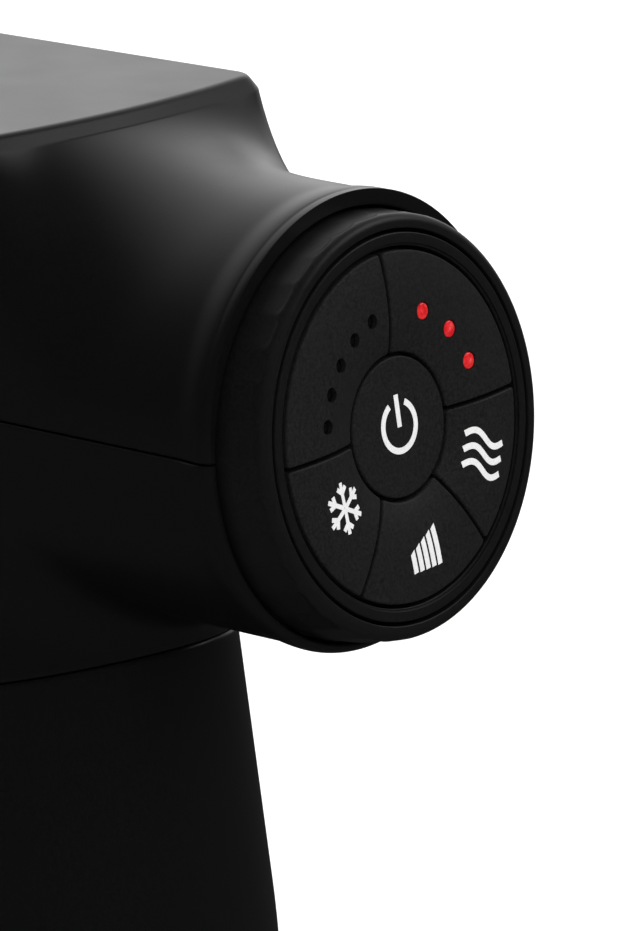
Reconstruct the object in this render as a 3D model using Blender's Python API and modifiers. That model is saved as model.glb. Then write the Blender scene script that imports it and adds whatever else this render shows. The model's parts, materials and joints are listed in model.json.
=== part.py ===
"""Percussion massager with a tilted key dial, a percussion drive and a pull-off hot and cold head.

The origin is the centre of the handle's flat foot. +X is the rear, where the dial is, and +Z is up.
"""
from math import asin, cos, hypot, pi, radians, sin, sqrt, tan

import bmesh
import bpy
from mathutils import Matrix, Vector

mm = 0.001

# Clearances, walls and counts that several pieces share
gap = 0.3 * mm
running_gap = 0.12 * mm
wall = 2.4 * mm
overrun = 4 * mm
merge_reach = 0.01 * mm
fine_steps = 40
round_steps = 30
small_steps = 14
tiny_steps = 8
sharp_angle = radians(28)

# Head
barrel_height = 172.5 * mm
barrel_radius = 30.35 * mm
nose_reach = 68 * mm
nose_draw = 4.85 * mm
nose_radius = barrel_radius - nose_draw
nose_taper_length = 24 * mm
top_rise = 36.5 * mm
top_inset = 1.35 * mm
top_half_width = barrel_radius - top_inset
top_narrowing = 2 * mm
top_rear_reach = 10.3 * mm
top_front_reach = 56 * mm
top_end_sag = 2.6 * mm
top_corner = 2.6 * mm
chamfer_out = 1.7 * mm
chamfer_drop = 2 * mm
flare_rear = 27 * mm
flare_front = 8.5 * mm
flare_power = 2.6
flare_side = 5 * mm
parting_gap = 0.3 * mm

# Handle and the collar that meets it
neck_radius = 22.9 * mm
grip_radius = 28.4 * mm
foot_radius = 27.4 * mm
neck_cone_length = 33 * mm
neck_ease_length = 20 * mm
foot_ease_length = 30 * mm
seam_drop = 40.7 * mm
seam_slope = radians(14)
collar_reach = 9 * mm

# Dial
dial_reach = 58 * mm
dial_rise = 0.5 * mm
dial_tilt = radians(6.9)
dial_turn = radians(3.3)
lip_width = 1.45 * mm
pocket_radius = barrel_radius - lip_width
dial_clearance = 0.8 * mm
dial_radius = pocket_radius - dial_clearance
rim_width = 2.3 * mm
dial_groove_radius = dial_radius - rim_width
bezel_width = 2.3 * mm
key_field_radius = dial_groove_radius - bezel_width
power_radius = 9.6 * mm
groove = 0.5 * mm
facet_count = 36
lip_setback = 7.2 * mm
lip_tilt = radians(3.4)
lip_roll = 1.2 * mm
key_travel = 0.5 * mm

# Screws
screw_radius = 1.1 * mm
screw_head_radius = 2.1 * mm
screw_head_height = 1.5 * mm

# Drive
crank_throw = 5 * mm
rod_length = 30 * mm
pin_radius = 3 * mm
piston_radius = 13.5 * mm
shank_radius = 9 * mm

collection = bpy.data.collections.new("percussion_massager")
cutters = bpy.data.collections.new("cutters")


def clear_scene():
    for obj in list(bpy.data.objects):
        bpy.data.objects.remove(obj)
    bpy.context.scene.collection.children.link(collection)
    bpy.context.scene.collection.children.link(cutters)


# Frames: a piece is drawn in a frame of its own and placed by that frame's matrix
def frame(origin, x_axis, z_axis):
    y_axis = z_axis.cross(x_axis)
    turn = Matrix((x_axis, y_axis, z_axis)).transposed().to_4x4()
    return Matrix.Translation(origin) @ turn


up = Vector((0, 0, 1))
rearward = Vector((1, 0, 0))
sideways = Vector((0, 1, 0))
base_frame = Matrix.Identity(4)
axis_point = up * barrel_height
drive_frame = Matrix.Translation(axis_point)
nose_frame = frame(axis_point, up, -rearward)
dial_centre = axis_point + rearward * dial_reach + up * dial_rise
dial_turned = Matrix.Rotation(-dial_tilt, 3, "Y") @ Matrix.Rotation(dial_turn, 3, "X")
dial_frame = frame(dial_centre, dial_turned @ sideways, dial_turned @ rearward)


def shifted(place, x=0.0, y=0.0, z=0.0):
    return place @ Matrix.Translation((x, y, z))


def material(name, colour, roughness, metallic=0.0):
    made = bpy.data.materials.new(name)
    made.use_nodes = True
    shader = made.node_tree.nodes["Principled BSDF"]
    shader.inputs["Base Color"].default_value = (*colour, 1)
    shader.inputs["Roughness"].default_value = roughness
    shader.inputs["Metallic"].default_value = metallic
    made.diffuse_color = (*colour, 1)
    return made


body_black = material("satin_black_abs", (0.012, 0.012, 0.013), 0.42)
dial_black = material("fine_textured_abs", (0.016, 0.016, 0.017), 0.55)
key_black = material("coated_key_black", (0.014, 0.014, 0.015), 0.6)
light_red = material("red_light_pipe", (0.85, 0.02, 0.03), 0.2)
light_dark = material("smoked_light_pipe", (0.02, 0.02, 0.022), 0.2)
rubber_black = material("black_rubber", (0.02, 0.02, 0.02), 0.8)
board_green = material("green_board", (0.02, 0.12, 0.05), 0.5)
steel = material("turned_steel", (0.6, 0.6, 0.62), 0.3, 1.0)
aluminium = material("anodised_aluminium", (0.75, 0.76, 0.78), 0.35, 1.0)
bronze = material("sintered_bronze", (0.55, 0.38, 0.2), 0.4, 1.0)
copper = material("wound_copper", (0.7, 0.3, 0.15), 0.45, 1.0)
ceramic = material("white_ceramic", (0.85, 0.85, 0.83), 0.4)
cell_wrap = material("cell_wrap", (0.1, 0.25, 0.45), 0.35)
acetal = material("white_acetal", (0.8, 0.8, 0.78), 0.4)


# Building blocks
def add(name, mesh, matrix, finish, smooth, where):
    obj = bpy.data.objects.new(name, mesh)
    where.objects.link(obj)
    obj.matrix_world = matrix
    if finish:
        mesh.materials.append(finish)
    if smooth:
        mesh.shade_smooth()
        mesh.set_sharp_from_angle(angle=sharp_angle)
    if where is cutters:
        obj.hide_render = True
        obj.display_type = "WIRE"
    return obj


def turned(name, profile, matrix, finish=None, steps=round_steps, where=collection, smooth=True):
    """Turn (radius, height) points about the frame's Z. A profile clear of the axis is a ring."""
    area = sum(a[0] * b[1] - b[0] * a[1] for a, b in zip(profile, profile[1:] + profile[:1]))
    points = list(reversed(profile)) if area > 0 else list(profile)
    is_ring = min(r for r, z in points) > merge_reach
    while not is_ring and (points[0][0] > merge_reach or points[-1][0] > merge_reach):
        points = points[1:] + points[:1]
    count = len(points)
    edges = [(i, (i + 1) % count) for i in range(count if is_ring else count - 1)]
    mesh = bpy.data.meshes.new(name)
    mesh.from_pydata([(r, 0, z) for r, z in points], edges, [])
    obj = add(name, mesh, matrix, finish, False, where)
    screw = obj.modifiers.new("turn", "SCREW")
    screw.steps = screw.render_steps = steps
    screw.use_merge_vertices = True
    screw.merge_threshold = merge_reach
    screw.use_smooth_shade = smooth
    return obj


def disc(radius, low, high):
    return [(0, high), (radius, high), (radius, low), (0, low)]


def ring(inner, outer, low, high):
    return [(outer, high), (outer, low), (inner, low), (inner, high)]


def finished(shape, name, matrix, finish, smooth, where):
    bmesh.ops.recalc_face_normals(shape, faces=shape.faces[:])
    mesh = bpy.data.meshes.new(name)
    shape.to_mesh(mesh)
    shape.free()
    return add(name, mesh, matrix, finish, smooth, where)


def prism(name, outline, low, high, matrix, finish=None, where=collection):
    """A flat outline raised from low to high along the frame's Z."""
    shape = bmesh.new()
    floor = shape.faces.new([shape.verts.new((x, y, low)) for x, y in outline])
    lifted = bmesh.ops.extrude_face_region(shape, geom=[floor])
    moved = [v for v in lifted["geom"] if isinstance(v, bmesh.types.BMVert)]
    bmesh.ops.translate(shape, verts=moved, vec=(0, 0, high - low))
    return finished(shape, name, matrix, finish, False, where)


def box(name, low, high, matrix, finish=None, where=collection):
    """A box between two corners of the frame."""
    size = [b - a for a, b in zip(low, high)]
    middle = [(a + b) / 2 for a, b in zip(low, high)]
    shape = bmesh.new()
    bmesh.ops.create_cube(shape, size=1, matrix=Matrix.Diagonal((*size, 1)))
    bmesh.ops.translate(shape, verts=shape.verts[:], vec=middle)
    return finished(shape, name, matrix, finish, False, where)


def loft(name, rings, matrix, finish=None, where=collection, smooth=True):
    """Skin rings of equal length, and close each end with a fan about the end ring's middle."""
    shape = bmesh.new()
    rows = [[shape.verts.new(p) for p in points] for points in rings]
    count = len(rows[0])
    for a, b in zip(rows, rows[1:]):
        for i in range(count):
            j = (i + 1) % count
            shape.faces.new((a[i], a[j], b[j], b[i]))
    for row in (rows[0], rows[-1]):
        middle = shape.verts.new(sum((v.co for v in row), Vector()) / count)
        for i in range(count):
            shape.faces.new((row[i], row[(i + 1) % count], middle))
    return finished(shape, name, matrix, finish, smooth, where)


def combine(obj, other, how):
    step = obj.modifiers.new(how.lower(), "BOOLEAN")
    step.operation = how
    step.solver = "EXACT"
    step.object = other


def cut(obj, *others):
    """Take shapes away from a piece, all in one step so that no rounded-off edge meets a later cut."""
    step = obj.modifiers.get("cuts")
    if not step:
        step = obj.modifiers.new("cuts", "BOOLEAN")
        step.operation = "DIFFERENCE"
        step.solver = "EXACT"
        step.operand_type = "COLLECTION"
        step.collection = bpy.data.collections.new(f"{obj.name}_cuts")
        cutters.children.link(step.collection)
    for other in others:
        step.collection.objects.link(other)


def screw(name, place, seat, head_top, tip):
    """A plain screw: its head runs from the seat to head_top, and its shaft from the seat to the tip."""
    profile = [(0, head_top), (screw_head_radius, head_top), (screw_head_radius, seat),
               (screw_radius, seat), (screw_radius, tip), (0, tip)]
    turned(name, profile, place, steel, steps=tiny_steps)


def hole(name, radius, low, high, matrix, steps=small_steps):
    return turned(name, disc(radius, low, high), matrix, steps=steps, where=cutters)


def around(radius, angle):
    return radius * cos(angle), radius * sin(angle)


# Head housing: one smooth form of barrel, top block and collar, found by walking rays outwards
def blend(a, b, reach):
    """The smaller of two distances, rounded off where they come within reach of each other."""
    if reach <= merge_reach:
        return min(a, b)
    share = max(reach - abs(a - b), 0) / reach
    return min(a, b) - share * share * reach / 4


lip_x = dial_reach - lip_setback
lip_lean = barrel_radius * tan(lip_tilt)
flare_slope = (grip_radius - neck_radius) / (neck_cone_length + neck_ease_length / 2)


def barrel_radius_at(x, lift=0.0):
    """Plain barrel, a rear lip rolled along its own tilt, and a front that narrows to the nose."""
    radius = barrel_radius
    into_roll = x + lift * lip_lean - (lip_x - lip_roll)
    if into_roll > 0:
        radius -= lip_roll - sqrt(max(lip_roll ** 2 - into_roll ** 2, 0))
    taper_share = (nose_taper_length - nose_reach - x) / nose_taper_length
    if taper_share > 0:
        radius -= (barrel_radius - nose_radius) * taper_share ** 2
    return radius


def top_half_width_at(x):
    share = (top_rear_reach - x) / (top_rear_reach + top_front_reach)
    return top_half_width - top_narrowing * min(max(share, 0), 1)


def block_plan(x, y):
    """Distance outwards from the top's grown outline, and how much of it is towards an end."""
    sag = top_end_sag * (y / top_half_width) ** 2
    past_end = max(x - top_rear_reach, -top_front_reach - x) + sag + top_corner
    past_side = abs(y) - top_half_width_at(x) + top_corner
    outside = hypot(max(past_end, 0), max(past_side, 0))
    plan = outside + min(max(past_end, past_side), 0) - top_corner - chamfer_out
    return plan, max(past_end, 0) / outside if outside > merge_reach else 0


def flare_top(x, y, past, end_share):
    """Height of the flare: a power curve from the chamfer's lower edge down to the barrel."""
    length = (flare_rear if x > 0 else flare_front) * end_share
    left = max(1 - past / length, 0) if length > merge_reach else 0
    barrel = barrel_radius_at(x)
    barrel_top = sqrt(max(barrel ** 2 - y ** 2, 0))
    side_share = min(max((barrel - abs(y)) / flare_side, 0), 1)
    rounding = sqrt(1 - (1 - side_share) ** 2)
    return barrel_top + (top_rise - chamfer_drop - barrel_top) * rounding * left ** flare_power


def head_distance(x, y, z):
    """Barrel, top block and the flare between them; below 0 is inside."""
    past, end_share = block_plan(x, y)
    across = hypot(y, z)
    barrel = across - barrel_radius_at(x, z / across)
    block = max(past, -z, z - top_rise - overrun)
    flare = max(z - flare_top(x, y, past, end_share), -z, -past)
    return min(barrel, block, flare)


def collar_radius_at(z):
    """The handle's cone, carried on up into the barrel."""
    return neck_radius - flare_slope * (z + seam_drop)


def collar_distance(x, y, z):
    """The head and the collar, joined by a round fillet."""
    return blend(head_distance(x, y, z), hypot(x, y) - collar_radius_at(z), collar_reach)


ray_halvings = 22


def surface_radius(distance_at, inner, outer):
    """Halve a ray until it ends where the distance turns positive."""
    for _ in range(ray_halvings):
        middle = (inner + outer) / 2
        if distance_at(middle) < 0:
            inner = middle
        else:
            outer = middle
    return (inner + outer) / 2


ray_count = 32
flare_shares = (0, 0.06, 0.18, 0.4, 0.7, 1)
least_spacing = 0.12 * mm
roll_angles = [radians(a) for a in (0, 30, 60, 90)]


def station_places():
    """Where the rings stand along the barrel: close at the flares and at the lip."""
    places = [top_rear_reach + chamfer_out + s * flare_rear for s in flare_shares]
    places += [-top_front_reach - chamfer_out - s * flare_front for s in flare_shares]
    places += [lip_x - lip_roll * (1 - sin(a)) for a in roll_angles]
    places += [top_rear_reach - top_corner, -top_front_reach + top_corner, -nose_reach + nose_taper_length]
    places += [top_rear_reach - neck_radius, 0]
    kept = [-nose_reach]
    for p in sorted(places):
        if p - kept[-1] > least_spacing and p <= lip_x:
            kept.append(p)
    return kept


def head_form(name):
    """Rings that lean with the bowed ends of the top and, at the rear, with the tilt of the lip."""
    rings = []
    for x in station_places():
        bow = max(0, 1 - abs(x - top_rear_reach) / neck_radius)
        bow -= max(0, 1 - abs(x + top_front_reach) / (nose_reach - top_front_reach))
        tilt = max(x - neck_radius, 0) / (lip_x - neck_radius)
        points = []
        for i in range(ray_count):
            angle = 2 * pi * i / ray_count
            across = min(abs(top_rise / tan(angle)) / top_half_width, 1) if i else 1
            rise = min(max(2 * sin(angle), 0), 1)
            here = x - bow * rise * top_end_sag * across ** 2 - tilt * lip_lean * sin(angle)
            radius = surface_radius(lambda r: head_distance(here, r * cos(angle), r * sin(angle)),
                                    nose_radius / 2, barrel_height / 2)
            points.append((here, radius * cos(angle), radius * sin(angle)))
        rings.append(points)
    return loft(name, rings, drive_frame, body_black)


collar_rays = 26
collar_low_shares = (1, 0.5, 0.25, 0.1, 0.01)
collar_high_shares = (0.97, 0.9, 0.8, 0.65, 0.48)
collar_core_share = 0.5


def collar_form():
    """Rings about the handle's axis, down the collar and its fillet. The last ones end in the barrel."""
    depth = seam_drop + (neck_radius + gap) * tan(seam_slope) + gap - barrel_radius
    heights = [-barrel_radius - depth * share for share in collar_low_shares]
    heights += [-barrel_radius * share for share in collar_high_shares]
    rings = []
    for z in heights:
        limit = collar_radius_at(z) + collar_reach
        points = []
        for i in range(collar_rays):
            angle = 2 * pi * i / collar_rays
            radius = surface_radius(lambda r: collar_distance(r * cos(angle), r * sin(angle), z),
                                    neck_radius / 2, limit)
            points.append((*around(radius, angle), z))
        rings.append(points)
    core = neck_radius * collar_core_share
    rings.append([(*around(core, 2 * pi * i / collar_rays), heights[-1]) for i in range(collar_rays)])
    return loft("collar_form", rings, drive_frame, where=cutters)


bow_steps = 8
corner_steps = 3


def rounded_top(grow):
    """The top's outline grown outwards, counter-clockwise from above."""
    loop = []
    for end, reach_x in ((1, top_rear_reach), (-1, -top_front_reach)):
        flat = top_half_width_at(reach_x) - top_corner
        corner_out = -top_corner - top_end_sag * (flat / top_half_width) ** 2
        points = []
        for k in range(corner_steps):
            out, over = around(top_corner + grow, pi / 2 * (k / corner_steps - 1))
            points.append((corner_out + out, over - flat))
        for k in range(bow_steps + 1):
            y = flat * (2 * k / bow_steps - 1)
            points.append((grow - top_end_sag * (y / top_half_width) ** 2, y))
        for k in range(1, corner_steps + 1):
            out, over = around(top_corner + grow, pi / 2 * k / corner_steps)
            points.append((corner_out + out, over + flat))
        loop += [(reach_x + end * out, end * over) for out, over in points]
    return loop


def top_lid():
    """What is taken off above the flat top and its chamfer."""
    edge = top_rise - chamfer_drop
    past = chamfer_out + top_corner
    levels = ((0, top_rise), (chamfer_out, edge), (past, edge), (past, top_rise + 2 * overrun))
    rings = [[(x, y, z) for x, y in rounded_top(grow)] for grow, z in levels]
    return loft("top_lid", rings, drive_frame, where=cutters, smooth=False)


# Dial depths, measured inwards from the plane of its rim
ring_depth = 9 * mm
base_height = 5.9 * mm
base_depth = ring_depth + gap + base_height
pocket_depth = base_depth + gap
bulkhead = 3 * mm
cavity_end = dial_reach - pocket_depth * cos(dial_tilt) - pocket_radius * sin(dial_tilt) - bulkhead
dial_screw_inset = 4.5 * mm
dial_screw_radius = pocket_radius - dial_screw_inset
bulkhead_width = 9.9 * mm
bulkhead_bore = pocket_radius - bulkhead_width
dial_screw_angles = [radians(a) for a in (32, 148, 272)]
screw_grip = 2.6 * mm

# Motor bay
floor_drop = 31 * mm
floor_thickness = 2.2 * mm
bay_radius = 19.8 * mm
wire_hole_radius = 4.5 * mm
front_wall = 3 * mm
taper_shares = (0.75, 0.5, 0.25)
sleeve_radius = 17 * mm
motor_screw_radius = 15.5 * mm
motor_screw_angles = [radians(a) for a in (62, 182, 302)]


def housing_cutters():
    """The spaces inside the two shells, each one cutter."""
    inner_front = nose_reach - front_wall
    places = [-cavity_end, 0, nose_reach - nose_taper_length]
    places += [nose_reach - nose_taper_length * share for share in taper_shares] + [inner_front]
    outline = [(barrel_radius_at(-z) - wall, z) for z in places]
    barrel = turned("barrel_space", [(0, -cavity_end)] + outline + [(0, inner_front)], nose_frame,
                    where=cutters)
    half = top_half_width_at(-top_front_reach) - wall
    rear = top_rear_reach - top_end_sag - wall
    block = box("top_space", (-top_front_reach + top_end_sag + wall, -half, 0),
                (rear, half, top_rise - wall), drive_frame, where=cutters)
    bay = hole("motor_space", bay_radius, -floor_drop, barrel_radius / 2, drive_frame, round_steps)
    under = hole("collar_space", bay_radius, -seam_drop - neck_radius, -floor_drop - floor_thickness,
                 drive_frame, round_steps)
    wires = hole("wire_space", wire_hole_radius, -barrel_height, 0, drive_frame)
    pocket = hole("dial_space", pocket_radius, -pocket_depth, dial_radius, dial_frame, fine_steps)
    bore = hole("bulkhead_space", bulkhead_bore, -pocket_depth - dial_radius, 0, dial_frame, round_steps)
    nose = hole("sleeve_space", sleeve_radius + gap, 0, nose_reach + overrun, nose_frame, round_steps)
    return barrel, block, bay, under, wires, pocket, bore, nose


def other_half(name, is_above):
    """The half that one shell gives up to the other, with half of the parting gap."""
    reach = barrel_height
    low, high = (-parting_gap / 2, reach) if is_above else (-reach, parting_gap / 2)
    return box(name, (-reach, -reach, low), (reach, reach, high), drive_frame, where=cutters)


def seam_frame(lift):
    """The sloping plane where the collar meets the handle."""
    return shifted(drive_frame, z=lift - seam_drop) @ Matrix.Rotation(-seam_slope, 4, "Y")


def seam_space():
    """Everything under the collar's sloping lower edge."""
    slant = seam_frame(0)
    reach = barrel_height
    rear = neck_radius + collar_reach / 2
    return box("seam_space", (-reach, -reach, -reach), (rear, reach, 0), slant, where=cutters)


def dial_screw_place(k):
    x, y = around(dial_screw_radius, dial_screw_angles[k])
    return shifted(dial_frame, x, y)


def motor_screw_place(k):
    x, y = around(motor_screw_radius, motor_screw_angles[k])
    return shifted(drive_frame, x, y)


def housings():
    barrel, block, bay, under, wires, pocket, bore, nose = housing_cutters()
    pilots = [hole(f"dial_pilot_{k}", screw_radius + running_gap, -pocket_depth - screw_grip - gap, 0,
                   dial_screw_place(k), tiny_steps) for k in range(len(dial_screw_angles))]
    upper = head_form("upper_housing")
    cut(upper, other_half("below_parting", False), top_lid(), barrel, block, bore, pocket, nose, *pilots[:2])
    lower = head_form("lower_housing")
    combine(lower, collar_form(), "UNION")
    cut(lower, other_half("above_parting", True), seam_space(), barrel, bay, under, wires, bore, pocket, nose,
        pilots[2])
    cut(lower, *[hole(f"motor_pilot_{k}", screw_radius + running_gap, -floor_drop - overrun, 0,
                      motor_screw_place(k), tiny_steps) for k in range(len(motor_screw_angles))])


# Dial
shelf_width = 0.9 * mm
shelf_radius = key_field_radius - shelf_width
shelf_height = 1.8 * mm
bezel_round = 0.5 * mm
rim_round = 1.3 * mm
rim_drop = 0.8 * mm
board_thickness = 1.5 * mm
mat_thickness = 1.1 * mm
mat_depth = 3.3 * mm
panel_depth = mat_depth - gap
key_depth = panel_depth - key_travel
key_crown = 0.45 * mm
key_crown_radius = 17 * mm
moat_depth = 0.7 * mm
key_edge_drop = 0.1 * mm
power_dome = 0.12 * mm
surface_steps = 5
groove_angles = {"right": radians(0), "top": radians(90), "left": radians(180),
                 "low_left": radians(238), "low_right": radians(306)}


def key_surface(radius):
    """Height of the keys' outer face: a crown that falls to a moat inwards and a little outwards."""
    if radius < key_crown_radius:
        share = (key_crown_radius - radius) / (key_crown_radius - power_radius)
        return key_crown - (key_crown + moat_depth) * share ** 2
    share = (radius - key_crown_radius) / (key_field_radius - key_crown_radius)
    return key_crown - (key_crown + key_edge_drop) * share ** 2


def key_face():
    """A solid whose outer face is the keys' surface, to trim each key with."""
    inner = power_radius - groove
    outer = key_field_radius + groove
    places = [inner + (outer - inner) * k / surface_steps for k in range(surface_steps + 1)]
    profile = [(r, key_surface(r)) for r in places]
    return turned("key_face", profile + [(outer, -ring_depth), (inner, -ring_depth)], dial_frame,
                  steps=fine_steps, where=cutters)


arc_step = radians(7)


def sector(start, end):
    """Outline of a key between two radial grooves."""
    inner = power_radius + groove / 2
    outer = key_field_radius - groove / 2
    points = []
    for radius, turn in ((outer, 1), (inner, -1)):
        margin = asin(groove / 2 / radius)
        a, b = start + margin, end - margin
        count = max(round((b - a) / arc_step), 1)
        angles = [a + (b - a) * k / count for k in range(count + 1)][::turn]
        points += [around(radius, angle) for angle in angles]
    return points


def key(name, start, end, depth):
    """A key is a sector trimmed by the dished face."""
    return prism(name, sector(start, end), -depth, moat_depth * 2, dial_frame, key_black)


light_ring_radius = 15.5 * mm
speed_light_radius = 0.9 * mm
heat_light_radius = 1.1 * mm
light_clearance = 0.1 * mm
speed_light_sink = 0.45 * mm
light_flat = 0.6 * mm
light_dome = 0.12 * mm
speed_light_angles = [radians(a) for a in (104, 119.5, 135, 150.5, 166)]
heat_light_angles = [radians(a) for a in (65, 42.5, 20.5)]


def lights(stem, panel, angles, radius, height, finish):
    """Light pipes, each in its own hole of the panel."""
    for k, angle in enumerate(angles):
        spot = shifted(dial_frame, *around(light_ring_radius, angle))
        cut(panel, hole(f"{stem}_hole_{k + 1}", radius + light_clearance, -ring_depth, ring_depth, spot,
                        tiny_steps))
        top = key_surface(light_ring_radius) + height
        dome = [(0, top), (light_flat, top - light_dome), (radius, top - 2 * light_dome)]
        turned(f"{stem}_{k + 1}", dome + [(radius, -panel_depth), (0, -panel_depth)], spot, finish,
               steps=tiny_steps)


def dial():
    bore_depth = pocket_depth + gap
    drum = pocket_radius - gap
    platform = shelf_radius - gap
    platform_top = -mat_depth - mat_thickness - gap - board_thickness - gap
    base = turned("dial_base", [(0, platform_top), (platform, platform_top), (platform, -ring_depth - gap),
                                (drum, -ring_depth - gap), (drum, -base_depth), (0, -base_depth)],
                  dial_frame, dial_black)
    head_seat = -ring_depth - gap - screw_head_height - gap
    for k in range(len(dial_screw_angles)):
        place = dial_screw_place(k)
        cut(base, hole(f"dial_screw_hole_{k}", screw_radius + gap, -bore_depth, 0, place, tiny_steps),
            hole(f"dial_screw_seat_{k}", screw_head_radius + gap, head_seat - gap, 0, place, tiny_steps))
        screw(f"dial_screw_{k + 1}", place, head_seat, head_seat + screw_head_height,
              -pocket_depth - screw_grip)

    groove_edge = dial_groove_radius + groove / 2
    turned("dial_ring", [(groove_edge, 0), (dial_radius - rim_round, 0), (dial_radius, -rim_drop),
                         (dial_radius, -ring_depth), (shelf_radius, -ring_depth),
                         (shelf_radius, -ring_depth + shelf_height),
                         (groove_edge, -ring_depth + shelf_height)],
           dial_frame, dial_black, steps=facet_count, smooth=False)
    bezel_out = dial_groove_radius - groove / 2
    bezel_in = key_field_radius + groove / 2
    bezel_low = -ring_depth + shelf_height + gap
    turned("dial_bezel", [(bezel_out - bezel_round, 0), (bezel_out, -bezel_round), (bezel_out, bezel_low),
                          (bezel_in, bezel_low), (bezel_in, -bezel_round), (bezel_in + bezel_round, 0)],
           dial_frame, dial_black, steps=fine_steps)
    inner_fit = bezel_in - gap
    board_low = platform_top + gap
    turned("control_board", disc(inner_fit, board_low, board_low + board_thickness), dial_frame,
           board_green)
    turned("key_mat", disc(inner_fit, -mat_depth - mat_thickness, -mat_depth), dial_frame, rubber_black)

    face = key_face()
    at = groove_angles
    turn = 2 * pi
    keys = [key("cold_button", at["left"], at["low_left"], key_depth),
            key("level_button", at["low_left"], at["low_right"], key_depth),
            key("heat_button", at["low_right"], at["right"] + turn, key_depth)]
    speed_panel = key("speed_panel", at["top"], at["left"], panel_depth)
    heat_panel = key("heat_panel", at["right"], at["top"], panel_depth)
    for piece in keys + [speed_panel, heat_panel]:
        combine(piece, face, "INTERSECT")
    lights("speed_light", speed_panel, speed_light_angles, speed_light_radius, -speed_light_sink,
           light_dark)
    lights("heat_light", heat_panel, heat_light_angles, heat_light_radius, 0, light_red)
    power = power_radius - groove / 2
    crown = -moat_depth + power_dome
    profile = [(0, crown), (power / 2, crown - power_dome / 4), (power - bezel_round, -moat_depth),
               (power, -moat_depth - bezel_round), (power, -key_depth), (0, -key_depth)]
    turned("power_button", profile, dial_frame, key_black)


# Motor and drive, in the frame of the barrel's axis above the handle
mount_thickness = 2 * mm
mount_tube_radius = 6.6 * mm
bearing_bore = 4.6 * mm
shaft_radius = 2.5 * mm
bell_radius = 18.5 * mm
bell_wall = 1.6 * mm
bell_top_drop = 15 * mm
bell_height = 12.4 * mm
bearing_width = 2.5 * mm
stator_height = 8 * mm
stator_poles = 9
pole_share = 0.62
stator_slot_depth = 6 * mm
pole_steps = 3
slot_steps = 2
crank_disc_thickness = 7 * mm
crank_hub_radius = 9 * mm
counterweight_radius = 15 * mm
rod_thickness = 7 * mm
rod_eye_radius = 8 * mm
rod_small_eye_radius = 5.5 * mm
rod_half_width = 3 * mm
bearing_outer = 5.9 * mm
wrist_pin_length = 12 * mm


def arc(radius, start, end, count, x=0.0, y=0.0):
    return [(x + radius * cos(start + (end - start) * k / count),
             y + radius * sin(start + (end - start) * k / count)) for k in range(count + 1)]


def motor():
    plate_low = -floor_drop + gap
    plate_top = plate_low + mount_thickness
    bell_low = -bell_top_drop - bell_height
    ceiling = -bell_top_drop - bell_wall
    tube_top = ceiling - gap
    mount = turned("motor_mount", [(mount_tube_radius, tube_top), (mount_tube_radius, plate_top),
                                   (bay_radius - gap, plate_top), (bay_radius - gap, plate_low),
                                   (bearing_bore, plate_low), (bearing_bore, tube_top)],
                   drive_frame, aluminium)
    for k in range(len(motor_screw_angles)):
        place = motor_screw_place(k)
        cut(mount, hole(f"mount_hole_{k}", screw_radius + running_gap, plate_low - overrun, 0, place,
                        tiny_steps))
        head_low = plate_top + gap / 2
        head_top = head_low + min(screw_head_height, bell_low - gap - head_low)
        screw(f"motor_screw_{k + 1}", place, head_low, head_top, -floor_drop - floor_thickness)
    bearing = ring(shaft_radius + running_gap, bearing_bore - running_gap, 0, bearing_width)
    turned("motor_bearing_lower", bearing, shifted(drive_frame, z=plate_low + gap), steel,
           steps=small_steps)
    turned("motor_bearing_upper", bearing, shifted(drive_frame, z=tube_top - bearing_width), steel,
           steps=small_steps)
    shaft_top = -bell_top_drop + gap + crank_disc_thickness / 2
    turned("motor_bell", [(0, shaft_top), (shaft_radius, shaft_top), (shaft_radius, -bell_top_drop),
                          (bell_radius, -bell_top_drop), (bell_radius, bell_low),
                          (bell_radius - bell_wall, bell_low), (bell_radius - bell_wall, ceiling),
                          (shaft_radius, ceiling), (shaft_radius, plate_low + gap), (0, plate_low + gap)],
           drive_frame, steel)
    pitch = 2 * pi / stator_poles
    outer = bell_radius - bell_wall - gap
    outline = []
    for k in range(stator_poles):
        half = pitch * pole_share / 2
        outline += arc(outer, k * pitch - half, k * pitch + half, pole_steps)
        outline += arc(outer - stator_slot_depth, k * pitch + half, (k + 1) * pitch - half, slot_steps)
    stator_low = plate_top + screw_head_height + 2 * gap
    stator = prism("motor_stator", outline, stator_low, stator_low + stator_height, drive_frame, copper)
    cut(stator, hole("stator_bore", mount_tube_radius + gap / 2, -barrel_height, 0, drive_frame,
                     round_steps))


def crank():
    low = -bell_top_drop + gap
    top = low + crank_disc_thickness
    heavy = arc(counterweight_radius, -pi / 2, pi / 2, small_steps)
    hub = arc(crank_hub_radius, pi / 2, pi + pi / 2, small_steps)
    disc_piece = prism("crank_disc", heavy + hub, low, top, drive_frame, steel)
    pin = turned("crank_pin", disc(pin_radius, top - overrun / 2, rod_thickness / 2 + gap),
                 shifted(drive_frame, -crank_throw), where=cutters, steps=small_steps)
    combine(disc_piece, pin, "UNION")
    cut(disc_piece, hole("shaft_socket", shaft_radius + running_gap, low - overrun,
                         low + crank_disc_thickness / 2 + gap, drive_frame))


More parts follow.
